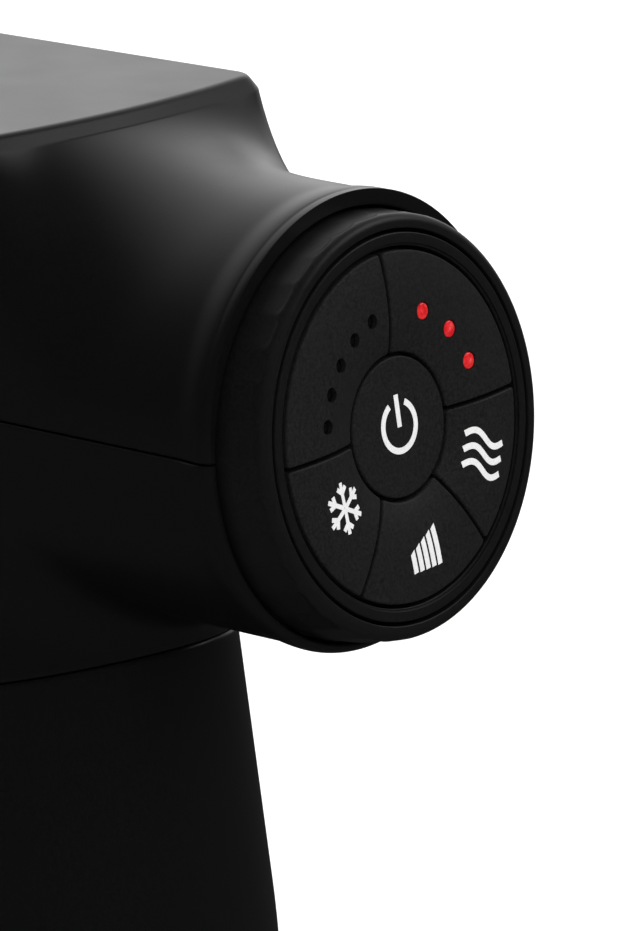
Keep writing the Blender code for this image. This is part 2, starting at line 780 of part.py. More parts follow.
def rod():
    big = asin(rod_half_width / rod_eye_radius)
    small = asin(rod_half_width / rod_small_eye_radius)
    outline = arc(rod_eye_radius, big - pi, pi - big, small_steps)
    outline += arc(rod_small_eye_radius, small, 2 * pi - small, small_steps, -rod_length)
    place = shifted(drive_frame, -crank_throw)
    piece = prism("connecting_rod", outline, -rod_thickness / 2, rod_thickness / 2, place, aluminium)
    cut(piece, hole("big_eye", bearing_outer + running_gap, -rod_thickness, rod_thickness, place),
        hole("small_eye", pin_radius + running_gap, -rod_thickness, rod_thickness,
             shifted(place, -rod_length)))
    bearing = ring(pin_radius + running_gap, bearing_outer, -rod_thickness / 2, rod_thickness / 2)
    turned("rod_bearing", bearing, place, bronze, steps=small_steps)
    turned("wrist_pin", disc(pin_radius, -wrist_pin_length / 2, wrist_pin_length / 2),
           shifted(place, -rod_length), steel, steps=small_steps)


# Piston, nose and head, in the nose frame whose Z runs forwards along the barrel
stroke = 2 * crank_throw
wrist_z = crank_throw + rod_length
cup_radius = 11.5 * mm
cup_behind = 7 * mm
cup_floor = 5.5 * mm
sleeve_bore = 15.2 * mm
sleeve_rear = 34 * mm
flange_thickness = 2.7 * mm
bush_length = 24 * mm
nose_ring_length = 6 * mm
nose_ring_draw = 4 * mm
nose_ring_wall = 1.7 * mm
flange_radius = nose_radius - nose_ring_wall - gap
seal_radius = 11.6 * mm
seal_length = 4 * mm
head_gap = 1.2 * mm
head_bore_length = 14 * mm
head_neck_radius = 13.5 * mm
head_neck_length = 5 * mm
head_flare_length = 8 * mm
head_radius = 24.5 * mm
head_round = 2 * mm
head_shell = 3 * mm
plate_thickness = 2.4 * mm
plate_dome = 1.6 * mm
tile_half = 10 * mm
tile_thickness = 3.6 * mm
sink_base = 2 * mm
fin_length = 3.8 * mm
fin_count = 7
fin_thickness = 1 * mm


def nose():
    flange_low = nose_reach + gap
    flange_top = flange_low + flange_thickness
    sleeve = [(flange_radius, flange_top), (flange_radius, flange_low), (sleeve_radius, flange_low),
              (sleeve_radius, sleeve_rear), (sleeve_bore, sleeve_rear), (sleeve_bore, flange_top)]
    turned("guide_sleeve", sleeve, nose_frame, aluminium)
    bush = ring(piston_radius + running_gap, sleeve_bore - running_gap, nose_reach - bush_length, nose_reach)
    turned("guide_bush", bush, nose_frame, bronze)
    ring_top = flange_top + gap + nose_ring_length
    turned("nose_ring", [(nose_radius - nose_ring_draw, ring_top),
                         (nose_radius, ring_top - nose_ring_length / 2),
                         (nose_radius, flange_low), (nose_radius - nose_ring_wall, flange_low),
                         (nose_radius - nose_ring_wall, flange_top + gap), (seal_radius, flange_top + gap),
                         (seal_radius, ring_top)], nose_frame, body_black, steps=fine_steps)
    seal_low = ring_top - seal_length - gap
    lip = shank_radius + running_gap * 2
    seal_high = seal_low + seal_length
    seal = [(seal_radius - running_gap, seal_high), (seal_radius - running_gap, seal_low), (lip, seal_low),
            (lip + gap, seal_low + seal_length / 2), (lip, seal_high)]
    turned("dust_seal", seal, nose_frame, rubber_black)
    return ring_top


def piston_and_head(nose_end):
    rear = wrist_z - cup_behind
    cup_end = wrist_z + rod_small_eye_radius + stroke + gap
    shoulder = cup_end + cup_floor
    head_rear = nose_end + stroke + head_gap
    shank_end = head_rear + head_bore_length
    profile = [(piston_radius, shoulder), (piston_radius, rear), (cup_radius, rear), (cup_radius, cup_end),
               (0, cup_end), (0, shank_end), (shank_radius, shank_end), (shank_radius, shoulder)]
    turned("piston", profile, nose_frame, steel)

    neck_end = head_rear + head_neck_length
    drum = neck_end + head_flare_length
    middle_radius = (head_neck_radius + head_radius) / 2
    floor = shank_end + gap + head_shell
    fin_low = floor + gap
    sink_top = fin_low + fin_length + sink_base
    tile_low = sink_top + gap
    room = tile_low + tile_thickness
    plate_low = room + gap
    front = plate_low + plate_thickness
    inner = head_radius - head_shell
    plate_radius = inner + head_shell / 2
    profile = [(head_radius - head_round, front), (head_radius, front - head_round), (head_radius, drum),
               (middle_radius, (neck_end + drum) / 2), (head_neck_radius, neck_end),
               (head_neck_radius, head_rear), (shank_radius + running_gap, head_rear),
               (shank_radius + running_gap, shank_end + gap), (0, shank_end + gap), (0, floor),
               (inner, floor), (inner, room), (plate_radius + gap, room),
               (plate_radius + gap, front)]
    turned("head_body", profile, nose_frame, dial_black)
    crown = front + plate_dome
    turned("head_plate", [(0, crown), (plate_radius / 2, crown - plate_dome / 4), (plate_radius, front),
                          (plate_radius, plate_low), (0, plate_low)], nose_frame, aluminium)
    box("thermo_tile", (-tile_half, -tile_half, tile_low), (tile_half, tile_half, room), nose_frame,
        ceramic)
    sink_half = tile_half + 2 * fin_thickness
    sink = box("heat_sink", (-sink_half, -sink_half, fin_low), (sink_half, sink_half, sink_top), nose_frame,
               aluminium)
    pitch = (2 * sink_half - fin_thickness) / (fin_count - 1)
    for k in range(fin_count - 1):
        left = -sink_half + k * pitch + fin_thickness
        slot = box(f"fin_gap_{k}", (left, -2 * sink_half, fin_low - overrun),
                   (left + pitch - fin_thickness, 2 * sink_half, sink_top - sink_base), nose_frame,
                   where=cutters)
        cut(sink, slot)


# Handle, in the base frame
pad_thickness = 1.6 * mm
pad_radius = 24 * mm
cap_lift = 0.6 * mm
cap_top = 4.1 * mm
cap_round = 1.5 * mm
spigot_height = 1.8 * mm
spigot_width = 2.6 * mm
holder_thickness = 3 * mm
holder_low = 11.3 * mm
cell_radius = 9.15 * mm
cell_length = 65 * mm
cell_count = 3
cell_button_radius = 2.8 * mm
cell_button_height = 0.8 * mm
cell_sink = 1.2 * mm
port_half_width = 4.5 * mm
port_height = 3.2 * mm
port_length = 7.6 * mm
port_wall = 0.4 * mm
port_sink = 0.8 * mm
tongue_half_width = 3 * mm
tongue_height = 0.7 * mm
base_screw_radius = 20.9 * mm
base_screw_angles = [radians(a) for a in (93, 273)]
board_tab = 6 * mm
handle_steps = 4


def handle_radius(z):
    """Radius of the handle: a cone under the seam, an eased grip, and a slight draw-in at the foot."""
    below = barrel_height - seam_drop - z
    past_cone = below - neck_cone_length
    if past_cone <= 0:
        return neck_radius + flare_slope * below
    if past_cone < neck_ease_length:
        eased = past_cone - past_cone ** 2 / (2 * neck_ease_length)
        return neck_radius + flare_slope * (neck_cone_length + eased)
    share = max(foot_ease_length - z, 0) / foot_ease_length
    return grip_radius - (grip_radius - foot_radius) * share ** 2


def handle():
    bottom = cap_top + gap
    ease_end = barrel_height - seam_drop - neck_cone_length - neck_ease_length
    places = [bottom, foot_ease_length / 2, foot_ease_length]
    places += [ease_end + neck_ease_length * k / handle_steps for k in range(handle_steps + 1)]
    places.append(barrel_height - seam_drop + neck_radius)
    outer = [(handle_radius(z), z) for z in places]
    inner = [(handle_radius(z) - wall, z) for z in reversed(places[::2] + places[-1:])]
    shell = turned("handle_shell", outer + inner, base_frame, body_black, steps=fine_steps)
    reach = barrel_height
    slant = seam_frame(-gap)
    over = box("above_seam", (-reach, -reach, 0), (reach, reach, reach), slant, where=cutters)
    cut(shell, over)

    bore = handle_radius(bottom) - wall
    board_low = cap_top + gap
    board_top = board_low + board_thickness
    port_low = board_top + gap
    port_front = handle_radius(port_low) - port_sink
    slot = box("port_space", (port_front - port_length, -port_half_width - gap, port_low - gap),
               (grip_radius + overrun, port_half_width + gap, port_low + port_height + gap), base_frame,
               where=cutters)
    cut(shell, slot)
    port = box("usb_port", (port_front - port_length, -port_half_width, port_low),
               (port_front, port_half_width, port_low + port_height), base_frame, steel)
    mouth = box("port_mouth", (port_front - port_length + port_wall * 2, -port_half_width + port_wall,
                               port_low + port_wall),
                (port_front + overrun, port_half_width - port_wall, port_low + port_height - port_wall),
                base_frame, where=cutters)
    cut(port, mouth)
    mid = port_low + port_height / 2
    tongue = box("port_tongue", (port_front - port_length + port_wall, -tongue_half_width,
                                 mid - tongue_height / 2),
                 (port_front - port_wall * 2, tongue_half_width, mid + tongue_height / 2), base_frame,
                 where=cutters)
    combine(port, tongue, "UNION")

    cap_radius = handle_radius(0)
    spigot = bore - gap
    seat = pad_thickness + gap
    spigot_top = cap_top + spigot_height
    profile = [(0, cap_top), (spigot - spigot_width, cap_top), (spigot - spigot_width, spigot_top),
               (spigot, spigot_top), (spigot, cap_top), (cap_radius, cap_top),
               (cap_radius, cap_lift + cap_round), (cap_radius - cap_round, cap_lift),
               (pad_radius + gap, cap_lift), (pad_radius + gap, seat), (0, seat)]
    cap = turned("base_cap", profile, base_frame, body_black, steps=fine_steps)
    turned("base_pad", disc(pad_radius, 0, pad_thickness), base_frame, rubber_black)
    board = turned("charge_board", disc(base_screw_radius - screw_head_radius - gap, board_low, board_top),
                   base_frame, board_green)
    tab_end = sqrt((spigot - spigot_width - gap) ** 2 - board_tab ** 2)
    tab = box("board_tab", (0, -board_tab, board_low), (tab_end, board_tab, board_top), base_frame,
              where=cutters)
    combine(board, tab, "UNION")

    cells_low = holder_low + holder_thickness - cell_sink + gap
    cells_high = cells_low + cell_length
    top_low = cells_high - cell_sink + gap
    lower = turned("cell_holder_bottom", disc(handle_radius(holder_low) - wall - gap, holder_low,
                                              holder_low + holder_thickness), base_frame, acetal)
    upper = turned("cell_holder_top", disc(handle_radius(top_low) - wall - gap, top_low,
                                           top_low + holder_thickness), base_frame, acetal)
    cell_ring = (cell_radius + gap / 2) / sin(pi / cell_count)
    for k in range(cell_count):
        spot = shifted(base_frame, *around(cell_ring, 2 * pi * k / cell_count))
        shoulder = cells_high - cell_button_height
        turned(f"battery_cell_{k + 1}", [(0, cells_high), (cell_button_radius, cells_high),
                                         (cell_button_radius, shoulder), (cell_radius, shoulder),
                                         (cell_radius, cells_low), (0, cells_low)], spot, cell_wrap,
               steps=small_steps)
        seat_space = hole(f"cell_seat_{k}", cell_radius + running_gap, cells_low - gap, cells_high + gap,
                          spot)
        cut(lower, seat_space)
        cut(upper, seat_space)
    for k, angle in enumerate(base_screw_angles):
        place = shifted(base_frame, *around(base_screw_radius, angle))
        deep = holder_low + holder_thickness / 2
        shaft = hole(f"base_screw_hole_{k}", screw_radius + running_gap, 0, deep, place, tiny_steps)
        head_low = pad_thickness + gap
        head_high = head_low + screw_head_height
        seat = hole(f"base_screw_seat_{k}", screw_head_radius + running_gap, 0, head_high, place, tiny_steps)
        cut(cap, shaft, seat)
        cut(lower, shaft)
        screw(f"base_screw_{k + 1}", place, head_high - gap, head_low, deep - gap)


clear_scene()
housings()
dial()
motor()
crank()
rod()
piston_and_head(nose())
handle()
bpy.context.view_layer.update()
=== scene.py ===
import json
from math import pi, radians

import bmesh
import bpy
import numpy as np
from mathutils import Matrix, Vector

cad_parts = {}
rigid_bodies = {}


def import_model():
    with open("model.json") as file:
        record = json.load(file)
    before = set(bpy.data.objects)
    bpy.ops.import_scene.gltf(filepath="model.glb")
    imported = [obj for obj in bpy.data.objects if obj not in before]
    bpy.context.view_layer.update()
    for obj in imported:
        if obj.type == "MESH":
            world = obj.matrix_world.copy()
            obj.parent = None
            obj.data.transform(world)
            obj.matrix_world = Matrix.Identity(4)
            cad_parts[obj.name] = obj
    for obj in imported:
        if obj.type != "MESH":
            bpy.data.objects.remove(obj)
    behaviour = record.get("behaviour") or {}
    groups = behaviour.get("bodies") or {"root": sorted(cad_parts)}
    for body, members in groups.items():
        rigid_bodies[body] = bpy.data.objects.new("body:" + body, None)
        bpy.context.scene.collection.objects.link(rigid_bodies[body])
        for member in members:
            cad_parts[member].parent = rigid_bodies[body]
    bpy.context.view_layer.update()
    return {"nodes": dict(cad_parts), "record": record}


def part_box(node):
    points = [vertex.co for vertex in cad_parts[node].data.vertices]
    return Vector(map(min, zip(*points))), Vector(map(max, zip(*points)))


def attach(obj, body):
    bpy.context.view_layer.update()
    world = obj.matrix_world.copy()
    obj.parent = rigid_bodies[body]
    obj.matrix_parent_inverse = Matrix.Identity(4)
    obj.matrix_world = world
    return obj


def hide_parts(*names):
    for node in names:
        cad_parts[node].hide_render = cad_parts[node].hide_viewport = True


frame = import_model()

mm = 0.001
nodes = frame["nodes"]
print("frame loaded:", len(nodes), "nodes")


# Places: a piece is worked out in mm in a frame of its own, which these matrices put into the row frame
def frameMatrix(origin, xAxis, zAxis):
    yAxis = zAxis.cross(xAxis)
    return Matrix.Translation(origin) @ Matrix((xAxis, yAxis, zAxis)).transposed().to_4x4()


layout = {"barrelHeight": 172.5, "dialReach": 58, "dialRise": 0.5, "dialTilt": 6.9, "dialTurn": 3.3}
barrelPlace = Matrix.Translation((0, 0, layout["barrelHeight"]))
basePlace = Matrix.Identity(4)
nosePlace = frameMatrix(Vector((0, 0, layout["barrelHeight"])), Vector((0, 0, 1)), Vector((-1, 0, 0)))
dialLean = (Matrix.Rotation(-radians(layout["dialTilt"]), 3, "Y")
            @ Matrix.Rotation(radians(layout["dialTurn"]), 3, "X"))
dialPlace = frameMatrix(Vector((layout["dialReach"], 0, layout["barrelHeight"] + layout["dialRise"])),
                        dialLean @ Vector((0, 1, 0)), dialLean @ Vector((1, 0, 0)))


def placed(points, place):
    # each point times the frame's turn, plus its origin
    turn = np.array(place.to_3x3())
    return points @ turn.T + np.array(place.translation)


# Meshes
def meshFrom(name, grid, place, sharp=32, ring=False):
    # a quad joins each point to the next one round its row and to the next row; ring joins the last row to the
    # first, and otherwise both ends are capped; then doubles are merged and faces turned outwards
    rows, cols = grid.shape[:2]
    i = np.arange(rows if ring else rows - 1)[:, None]
    j = np.arange(cols)[None, :]
    i2, j2 = (i + 1) % rows, (j + 1) % cols
    corners = np.broadcast_arrays(i * cols + j, i * cols + j2, i2 * cols + j2, i2 * cols + j)
    quads = np.stack(corners, -1).reshape(-1, 4).astype(np.int32)
    points = placed(grid.reshape(-1, 3), place) * mm
    mesh = bpy.data.meshes.new(name)
    mesh.vertices.add(len(points))
    mesh.vertices.foreach_set("co", points.astype(np.float32).ravel())
    mesh.loops.add(quads.size)
    mesh.loops.foreach_set("vertex_index", quads.ravel())
    mesh.polygons.add(len(quads))
    mesh.polygons.foreach_set("loop_start", np.arange(0, quads.size, 4, dtype=np.int32))
    mesh.update(calc_edges=True)
    shape = bmesh.new()
    shape.from_mesh(mesh)
    bmesh.ops.remove_doubles(shape, verts=shape.verts, dist=2e-7)
    rim = [e for e in shape.edges if e.is_boundary]
    if rim:
        bmesh.ops.holes_fill(shape, edges=rim, sides=0)
    bmesh.ops.recalc_face_normals(shape, faces=shape.faces)
    shape.to_mesh(mesh)
    shape.free()
    mesh.shade_smooth()
    mesh.set_sharp_from_angle(angle=radians(sharp))
    return mesh


def objectFrom(name, mesh):
    made = bpy.data.objects.new(name, mesh)
    bpy.context.scene.collection.objects.link(made)
    return made


def combined(base, others, how, sharp=32):
    # one exact Boolean of a mesh with several others, which are used up
    body = objectFrom("work", base)
    group = bpy.data.collections.new("work")
    for other in others:
        group.objects.link(bpy.data.objects.new("cutter", other))
    step = body.modifiers.new("cut", "BOOLEAN")
    step.operation = how
    step.solver = "EXACT"
    step.operand_type = "COLLECTION"
    step.collection = group
    graph = bpy.context.evaluated_depsgraph_get()
    result = bpy.data.meshes.new_from_object(body.evaluated_get(graph))
    for cutter in list(group.objects):
        bpy.data.objects.remove(cutter)
    bpy.data.objects.remove(body)
    bpy.data.collections.remove(group)
    result.shade_smooth()
    result.set_sharp_from_angle(angle=radians(sharp))
    return result


def finishPiece(name, mesh, finish, body, replaced=()):
    # a visible piece in its finish, riding on a body in place of the solids that it replaces
    slot, material = finish
    piece = objectFrom(name, mesh)
    mesh.name = name
    mesh.materials.clear()
    mesh.materials.append(material)
    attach(piece, body)
    if replaced:
        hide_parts(*replaced)


def roundedPath(corners, arcSteps=6, closed=False):
    # each corner (x, y, radius) becomes an arc tangent to both its sides
    pts = np.array([c[:2] for c in corners], float)
    radii = [c[2] if len(c) > 2 else 0 for c in corners]
    out = []
    count = len(pts)
    for k in range(count):
        p = pts[k]
        if radii[k] <= 0 or (not closed and k in (0, count - 1)):
            out.append(p[None])
            continue
        a, b = pts[k - 1] - p, pts[(k + 1) % count] - p
        a, b = a / np.linalg.norm(a), b / np.linalg.norm(b)
        half = np.arccos(np.clip(a @ b, -1, 1)) / 2
        reach = radii[k] / np.tan(half)
        centre = p + (a + b) / np.linalg.norm(a + b) * radii[k] / np.sin(half)
        u, v = p + a * reach - centre, p + b * reach - centre
        t = np.linspace(0, 1, arcSteps + 1)[:, None]
        turn = np.arccos(np.clip(u @ v / (u @ u), -1, 1))
        out.append(centre + (np.sin((1 - t) * turn) * u + np.sin(t * turn) * v) / np.sin(turn))
    return np.concatenate(out)


def aboutZ(radius, angle, z):
    # points at a radius and an angle about the frame's Z, at height z
    return np.stack([radius * np.cos(angle), radius * np.sin(angle), z + 0 * angle], -1)


def turnedGrid(profile, steps):
    # a profile (radius, height) turned about the frame's Z
    return aboutZ(profile[:, 0, None], np.arange(steps) * 2 * pi / steps, profile[:, 1, None])


def turnedMesh(name, corners, place, steps=96, ring=False, arcSteps=6, sharp=32):
    profile = roundedPath(corners, arcSteps, ring)
    return meshFrom(name, turnedGrid(profile, steps), place, sharp, ring)


def surfaceRadius(distanceAt, inner, outer):
    # halve each ray until it ends where its distance turns positive
    for step in range(26):
        middle = (inner + outer) / 2
        inside = distanceAt(middle) < 0
        inner = np.where(inside, middle, inner)
        outer = np.where(inside, outer, middle)
    return (inner + outer) / 2


# Materials
def linearColour(code):
    # an sRGB hex value as linear light
    value = np.array([int(code[k:k + 2], 16) / 255 for k in (1, 3, 5)])
    value = np.where(value <= 0.04045, value / 12.92, ((value + 0.055) / 1.055) ** 2.4)
    return (*value, 1)


def addNode(tree, kind, links=None, values=None, **settings):
    # one node with its settings, its sockets' values, and the sockets that feed it
    node = tree.nodes.new(kind)
    for key, value in settings.items():
        setattr(node, key, value)
    for socket, value in (values or {}).items():
        node.inputs[socket].default_value = value
    for socket, source in (links or {}).items():
        tree.links.new(source, node.inputs[socket])
    return node


def newMaterial(name, shaderValues):
    made = bpy.data.materials.new(name)
    made.use_nodes = True
    tree = made.node_tree
    shader = tree.nodes["Principled BSDF"]
    for socket, value in shaderValues.items():
        shader.inputs[socket].default_value = value
    return made, tree, shader


def colourStops(tree, source, stops):
    ramp = addNode(tree, "ShaderNodeValToRGB", {"Fac": source})
    while len(ramp.color_ramp.elements) < len(stops):
        ramp.color_ramp.elements.new(0.5)
    for element, (position, code) in zip(ramp.color_ramp.elements, stops):
        element.position = position
        element.color = linearColour(code)
    return ramp.outputs["Color"]


def unevenGloss(tree, shader, clouds, roughness, spread):
    # roughness that follows the clouds a little way up and down
    rough = addNode(tree, "ShaderNodeMapRange", {"Value": clouds.outputs["Fac"]},
                    {"From Min": 0.3, "From Max": 0.7, "To Min": roughness - spread, "To Max": roughness + spread})
    tree.links.new(rough.outputs["Result"], shader.inputs["Roughness"])


def mouldedPlastic(name, grain, depth, roughness, spread, ior, codes):
    # spark-eroded mould texture: rounded grains of one size under a slower unevenness in gloss; real grains are
    # near 0.1 mm and are drawn coarser so that they show
    made, tree, shader = newMaterial(name, {"IOR": ior})
    place = addNode(tree, "ShaderNodeTexCoord").outputs["Object"]
    grains = addNode(tree, "ShaderNodeTexNoise", {"Vector": place},
                     {"Scale": 1 / (grain * mm), "Detail": 2, "Roughness": 0.55})
    clouds = addNode(tree, "ShaderNodeTexNoise", {"Vector": place}, {"Scale": 1 / (14 * mm), "Detail": 3})
    tree.links.new(colourStops(tree, grains.outputs["Fac"], [(0.35, codes[0]), (0.65, codes[1])]),
                   shader.inputs["Base Color"])
    unevenGloss(tree, shader, clouds, roughness, spread)
    bump = addNode(tree, "ShaderNodeBump", {"Height": grains.outputs["Fac"]},
                   {"Strength": 1, "Distance": depth * mm})
    tree.links.new(bump.outputs["Normal"], shader.inputs["Normal"])
    return made


def metalFinish(name, codes, roughness, axis, pitch, depth):
    # turned metal: fine rings about the axis it was turned on, with slow changes in gloss
    made, tree, shader = newMaterial(name, {"Metallic": 1})
    place = addNode(tree, "ShaderNodeTexCoord").outputs["Object"]
    rings = addNode(tree, "ShaderNodeTexWave", {"Vector": place},
                    {"Scale": 0.314 / (pitch * mm), "Distortion": 1.5, "Detail": 2},
                    wave_type="BANDS", bands_direction=axis)
    clouds = addNode(tree, "ShaderNodeTexNoise", {"Vector": place}, {"Scale": 1 / (5 * mm), "Detail": 4})
    mixed = colourStops(tree, clouds.outputs["Fac"], [(0.3, codes[0]), (0.7, codes[1])])
    tree.links.new(mixed, shader.inputs["Base Color"])
    unevenGloss(tree, shader, clouds, roughness, 0.06)
    bump = addNode(tree, "ShaderNodeBump", {"Height": rings.outputs["Fac"]},
                   {"Strength": 0.6, "Distance": depth * mm})
    tree.links.new(bump.outputs["Normal"], shader.inputs["Normal"])
    return made


def speckled(name, codes, size, roughness, depth, **shaderValues):
    # cast, sintered or moulded stuff whose colour and surface vary in grains of one size
    made, tree, shader = newMaterial(name, {"Roughness": roughness, **shaderValues})
    place = addNode(tree, "ShaderNodeTexCoord").outputs["Object"]
    grains = addNode(tree, "ShaderNodeTexNoise", {"Vector": place}, {"Scale": 1 / (size * mm), "Detail": 3})
    tree.links.new(colourStops(tree, grains.outputs["Fac"], [(0.35, codes[0]), (0.65, codes[1])]),
                   shader.inputs["Base Color"])
    bump = addNode(tree, "ShaderNodeBump", {"Height": grains.outputs["Fac"]},
                   {"Strength": 0.5, "Distance": depth * mm})
    tree.links.new(bump.outputs["Normal"], shader.inputs["Normal"])
    return made


def redLens(name):
    # clear red acrylic light pipe, lit from behind so that it glows a little, in a red that turns paler in random
    # specks
    made, tree, shader = newMaterial(name, {"Roughness": 0.18, "IOR": 1.49, "Emission Strength": 0.3,
                                            "Coat Weight": 0.6, "Coat Roughness": 0.1})
    place = addNode(tree, "ShaderNodeTexCoord").outputs["Object"]
    specks = addNode(tree, "ShaderNodeTexNoise", {"Vector": place}, {"Scale": 1 / (0.7 * mm), "Detail": 2})
    tint = colourStops(tree, specks.outputs["Fac"], [(0.35, "#B8141A"), (0.6, "#CC2A2C"), (0.75, "#D8484A")])
    tree.links.new(tint, shader.inputs["Base Color"])
    tree.links.new(tint, shader.inputs["Emission Color"])
    return made


# Each finish: the record's slot that it stands in, and its material
# Satin black ABS, spark-eroded mould: near black, with soft broad highlights
bodyFinish = ("satin_black_abs",
              mouldedPlastic("mouldedSatinAbs", 0.35, 0.006, 0.34, 0.02, 1.5, ("#0B0B0C", "#0F0F10")))
# Fine-textured ABS of the knob and its bezel: a little greyer, duller
knobFinish = ("fine_textured_abs",
              mouldedPlastic("mouldedTexturedAbs", 0.4, 0.010, 0.4, 0.02, 1.5, ("#0E0E0F", "#141415")))
# Soft-touch lacquer on the keys: an even dark grey with a fine grain that shows
keyFinish = ("coated_key_black",
             mouldedPlastic("lacqueredKeyAbs", 0.4, 0.012, 0.5, 0.02, 1.42, ("#161616", "#202020")))
# Screen-printed ink: flat warm white, slightly uneven
inkFinish = (None, speckled("printedWhiteInk", ("#E9E9E9", "#F2F2F2"), 0.6, 0.55, 0.002))
# Red acrylic light pipe, polished and lit: a saturated red dome with a small bright glint
redFinish = ("red_light_pipe", redLens("litRedAcrylic"))
# Smoked acrylic, unlit: near black and glossier than the panel round it
smokeFinish = ("smoked_light_pipe", speckled("smokedAcrylic", ("#060606", "#0B0B0B"), 0.8, 0.25, 0.002))
# Moulded rubber: dull dark grey with a coarse grain
rubberFinish = ("black_rubber", mouldedPlastic("mouldedRubber", 0.8, 0.02, 0.75, 0.05, 1.5, ("#141414", "#1C1C1C")))
# Anodised aluminium: paler and softer than the steel
aluminiumFinish = ("anodised_aluminium",
                   metalFinish("anodisedAluminium", ("#C9CBCF", "#D8DADD"), 0.34, "X", 0.5, 0.004))
insideFinishes = [
    # Solder-masked board: deep green under a thin even gloss
    ("green_board", speckled("solderMaskedBoard", ("#0E4A2A", "#16603A"), 2.5, 0.35, 0.01)),
    # Turned steel: bright grey with fine rings, drawn coarser than a tool leaves them so that they show
    ("turned_steel", metalFinish("turnedSteel", ("#B8B9BC", "#CDCED0"), 0.28, "X", 0.4, 0.004)),
    # Sintered bronze: dull yellow metal, speckled by its pores
    ("sintered_bronze", speckled("sinteredBronze", ("#A97F4E", "#C79A63"), 0.5, 0.4, 0.01, Metallic=1)),
    # Wound enamelled wire: copper ridges one wire apart
    ("wound_copper", metalFinish("woundCopper", ("#B4693E", "#D08A58"), 0.35, "Z", 0.8, 0.08)),
    # Fired alumina: near white and smooth
    ("white_ceramic", speckled("firedAlumina", ("#E4E4DF", "#F0F0EC"), 1.2, 0.4, 0.004)),
    # Shrink film round the cells: blue and glossy
    ("cell_wrap", speckled("shrinkWrappedCell", ("#264E78", "#2C5A88"), 6, 0.3, 0.01)),
    # Moulded acetal: warm white with a waxy sheen
    ("white_acetal", speckled("mouldedAcetal", ("#E3E3DD", "#EEEEE8"), 4, 0.38, 0.004))]
finishOfSlot = dict([bodyFinish, knobFinish, keyFinish, redFinish, smokeFinish, rubberFinish, aluminiumFinish]
                    + insideFinishes)
for part in frame["record"]["subparts"]:
    for socket in nodes[part["node"]].material_slots:
        socket.material = finishOfSlot[part["material_slot"]]
print("materials made:", len(finishOfSlot) + 1)

# Housing form, in mm about the barrel's axis above the handle; X runs to the dial, -X to the nose
head = {"radius": 30.35, "noseReach": 68, "noseRadius": 25.5, "noseTaper": 24,
        "topRise": 36.5, "topHalf": 29.0, "topNarrowing": 2, "topRear": 10.3, "topFront": 56,
        "topSag": 2.6, "topCorner": 2.6, "chamferOut": 1.7, "chamferDrop": 2, "edgeRound": 0.55,
        "flareRear": 27, "flareFront": 8.5, "flarePower": 2.6, "flareSide": 7, "bowReach": 22.9,
        "lipX": 50.8, "lipRoll": 1.9, "lipRollDepth": 1.3, "lipLean": 30.35 * np.tan(radians(3.4)),
        "lipEdge": 0.35, "beadLength": 6, "bead": 0.4, "partingHalf": 0.15, "partingRound": 0.16,
        "wall": 2.4, "pocketRadius": 28.9, "pocketDepth": 15.8, "rayStart": 12.0, "rayEnd": 70.0}
partingRays = np.array([0, 0.0012, 0.0025, 0.004, 0.006, 0.009])  # radians past the parting line


def smoothMax(a, b, reach):
    # the larger of two distances, with the edge between them rounded off
    share = np.maximum(reach - np.abs(a - b), 0) / reach
    return np.maximum(a, b) + share * share * reach / 4


def smoothMin(a, b, reach):
    return -smoothMax(-a, -b, reach)


def barrelRadiusAt(x, lift):
    # plain radius, less the rear lip's roll (a quarter ellipse along the tilted lip), less the nose's parabola
    pastLip = x + lift * head["lipLean"] - head["lipX"]
    intoRoll = np.clip(pastLip + head["lipRoll"], 0, head["lipRoll"])
    roll = head["lipRollDepth"] * (1 - np.sqrt(1 - (intoRoll / head["lipRoll"]) ** 2))
    # a low bead swells before the roll by a smooth step
    intoBead = np.clip((pastLip + head["beadLength"]) / (head["beadLength"] - head["lipRoll"]), 0, 1)
    roll = roll - head["bead"] * intoBead ** 2 * (3 - 2 * intoBead)
    taper = np.clip((head["noseTaper"] - head["noseReach"] - x) / head["noseTaper"], 0, 1)
    return head["radius"] - roll - (head["radius"] - head["noseRadius"]) * taper ** 2


def topHalfAt(x):
    # half the top's width, narrowing evenly from its rear end to its front end
    share = np.clip((head["topRear"] - x) / (head["topRear"] + head["topFront"]), 0, 1)
    return head["topHalf"] - head["topNarrowing"] * share


def blockPlan(x, y):
    # distance outwards in plan from the top's grown outline, and its share towards an end
    sag = head["topSag"] * (y / head["topHalf"]) ** 2
    pastEnd = np.maximum(x - head["topRear"], -head["topFront"] - x) + sag + head["topCorner"]
    pastSide = np.abs(y) - topHalfAt(x) + head["topCorner"]
    outside = np.hypot(np.maximum(pastEnd, 0), np.maximum(pastSide, 0))
    plan = outside + np.minimum(np.maximum(pastEnd, pastSide), 0) - head["topCorner"] - head["chamferOut"]
    return plan, np.where(outside > 1e-6, np.maximum(pastEnd, 0) / np.maximum(outside, 1e-6), 0)


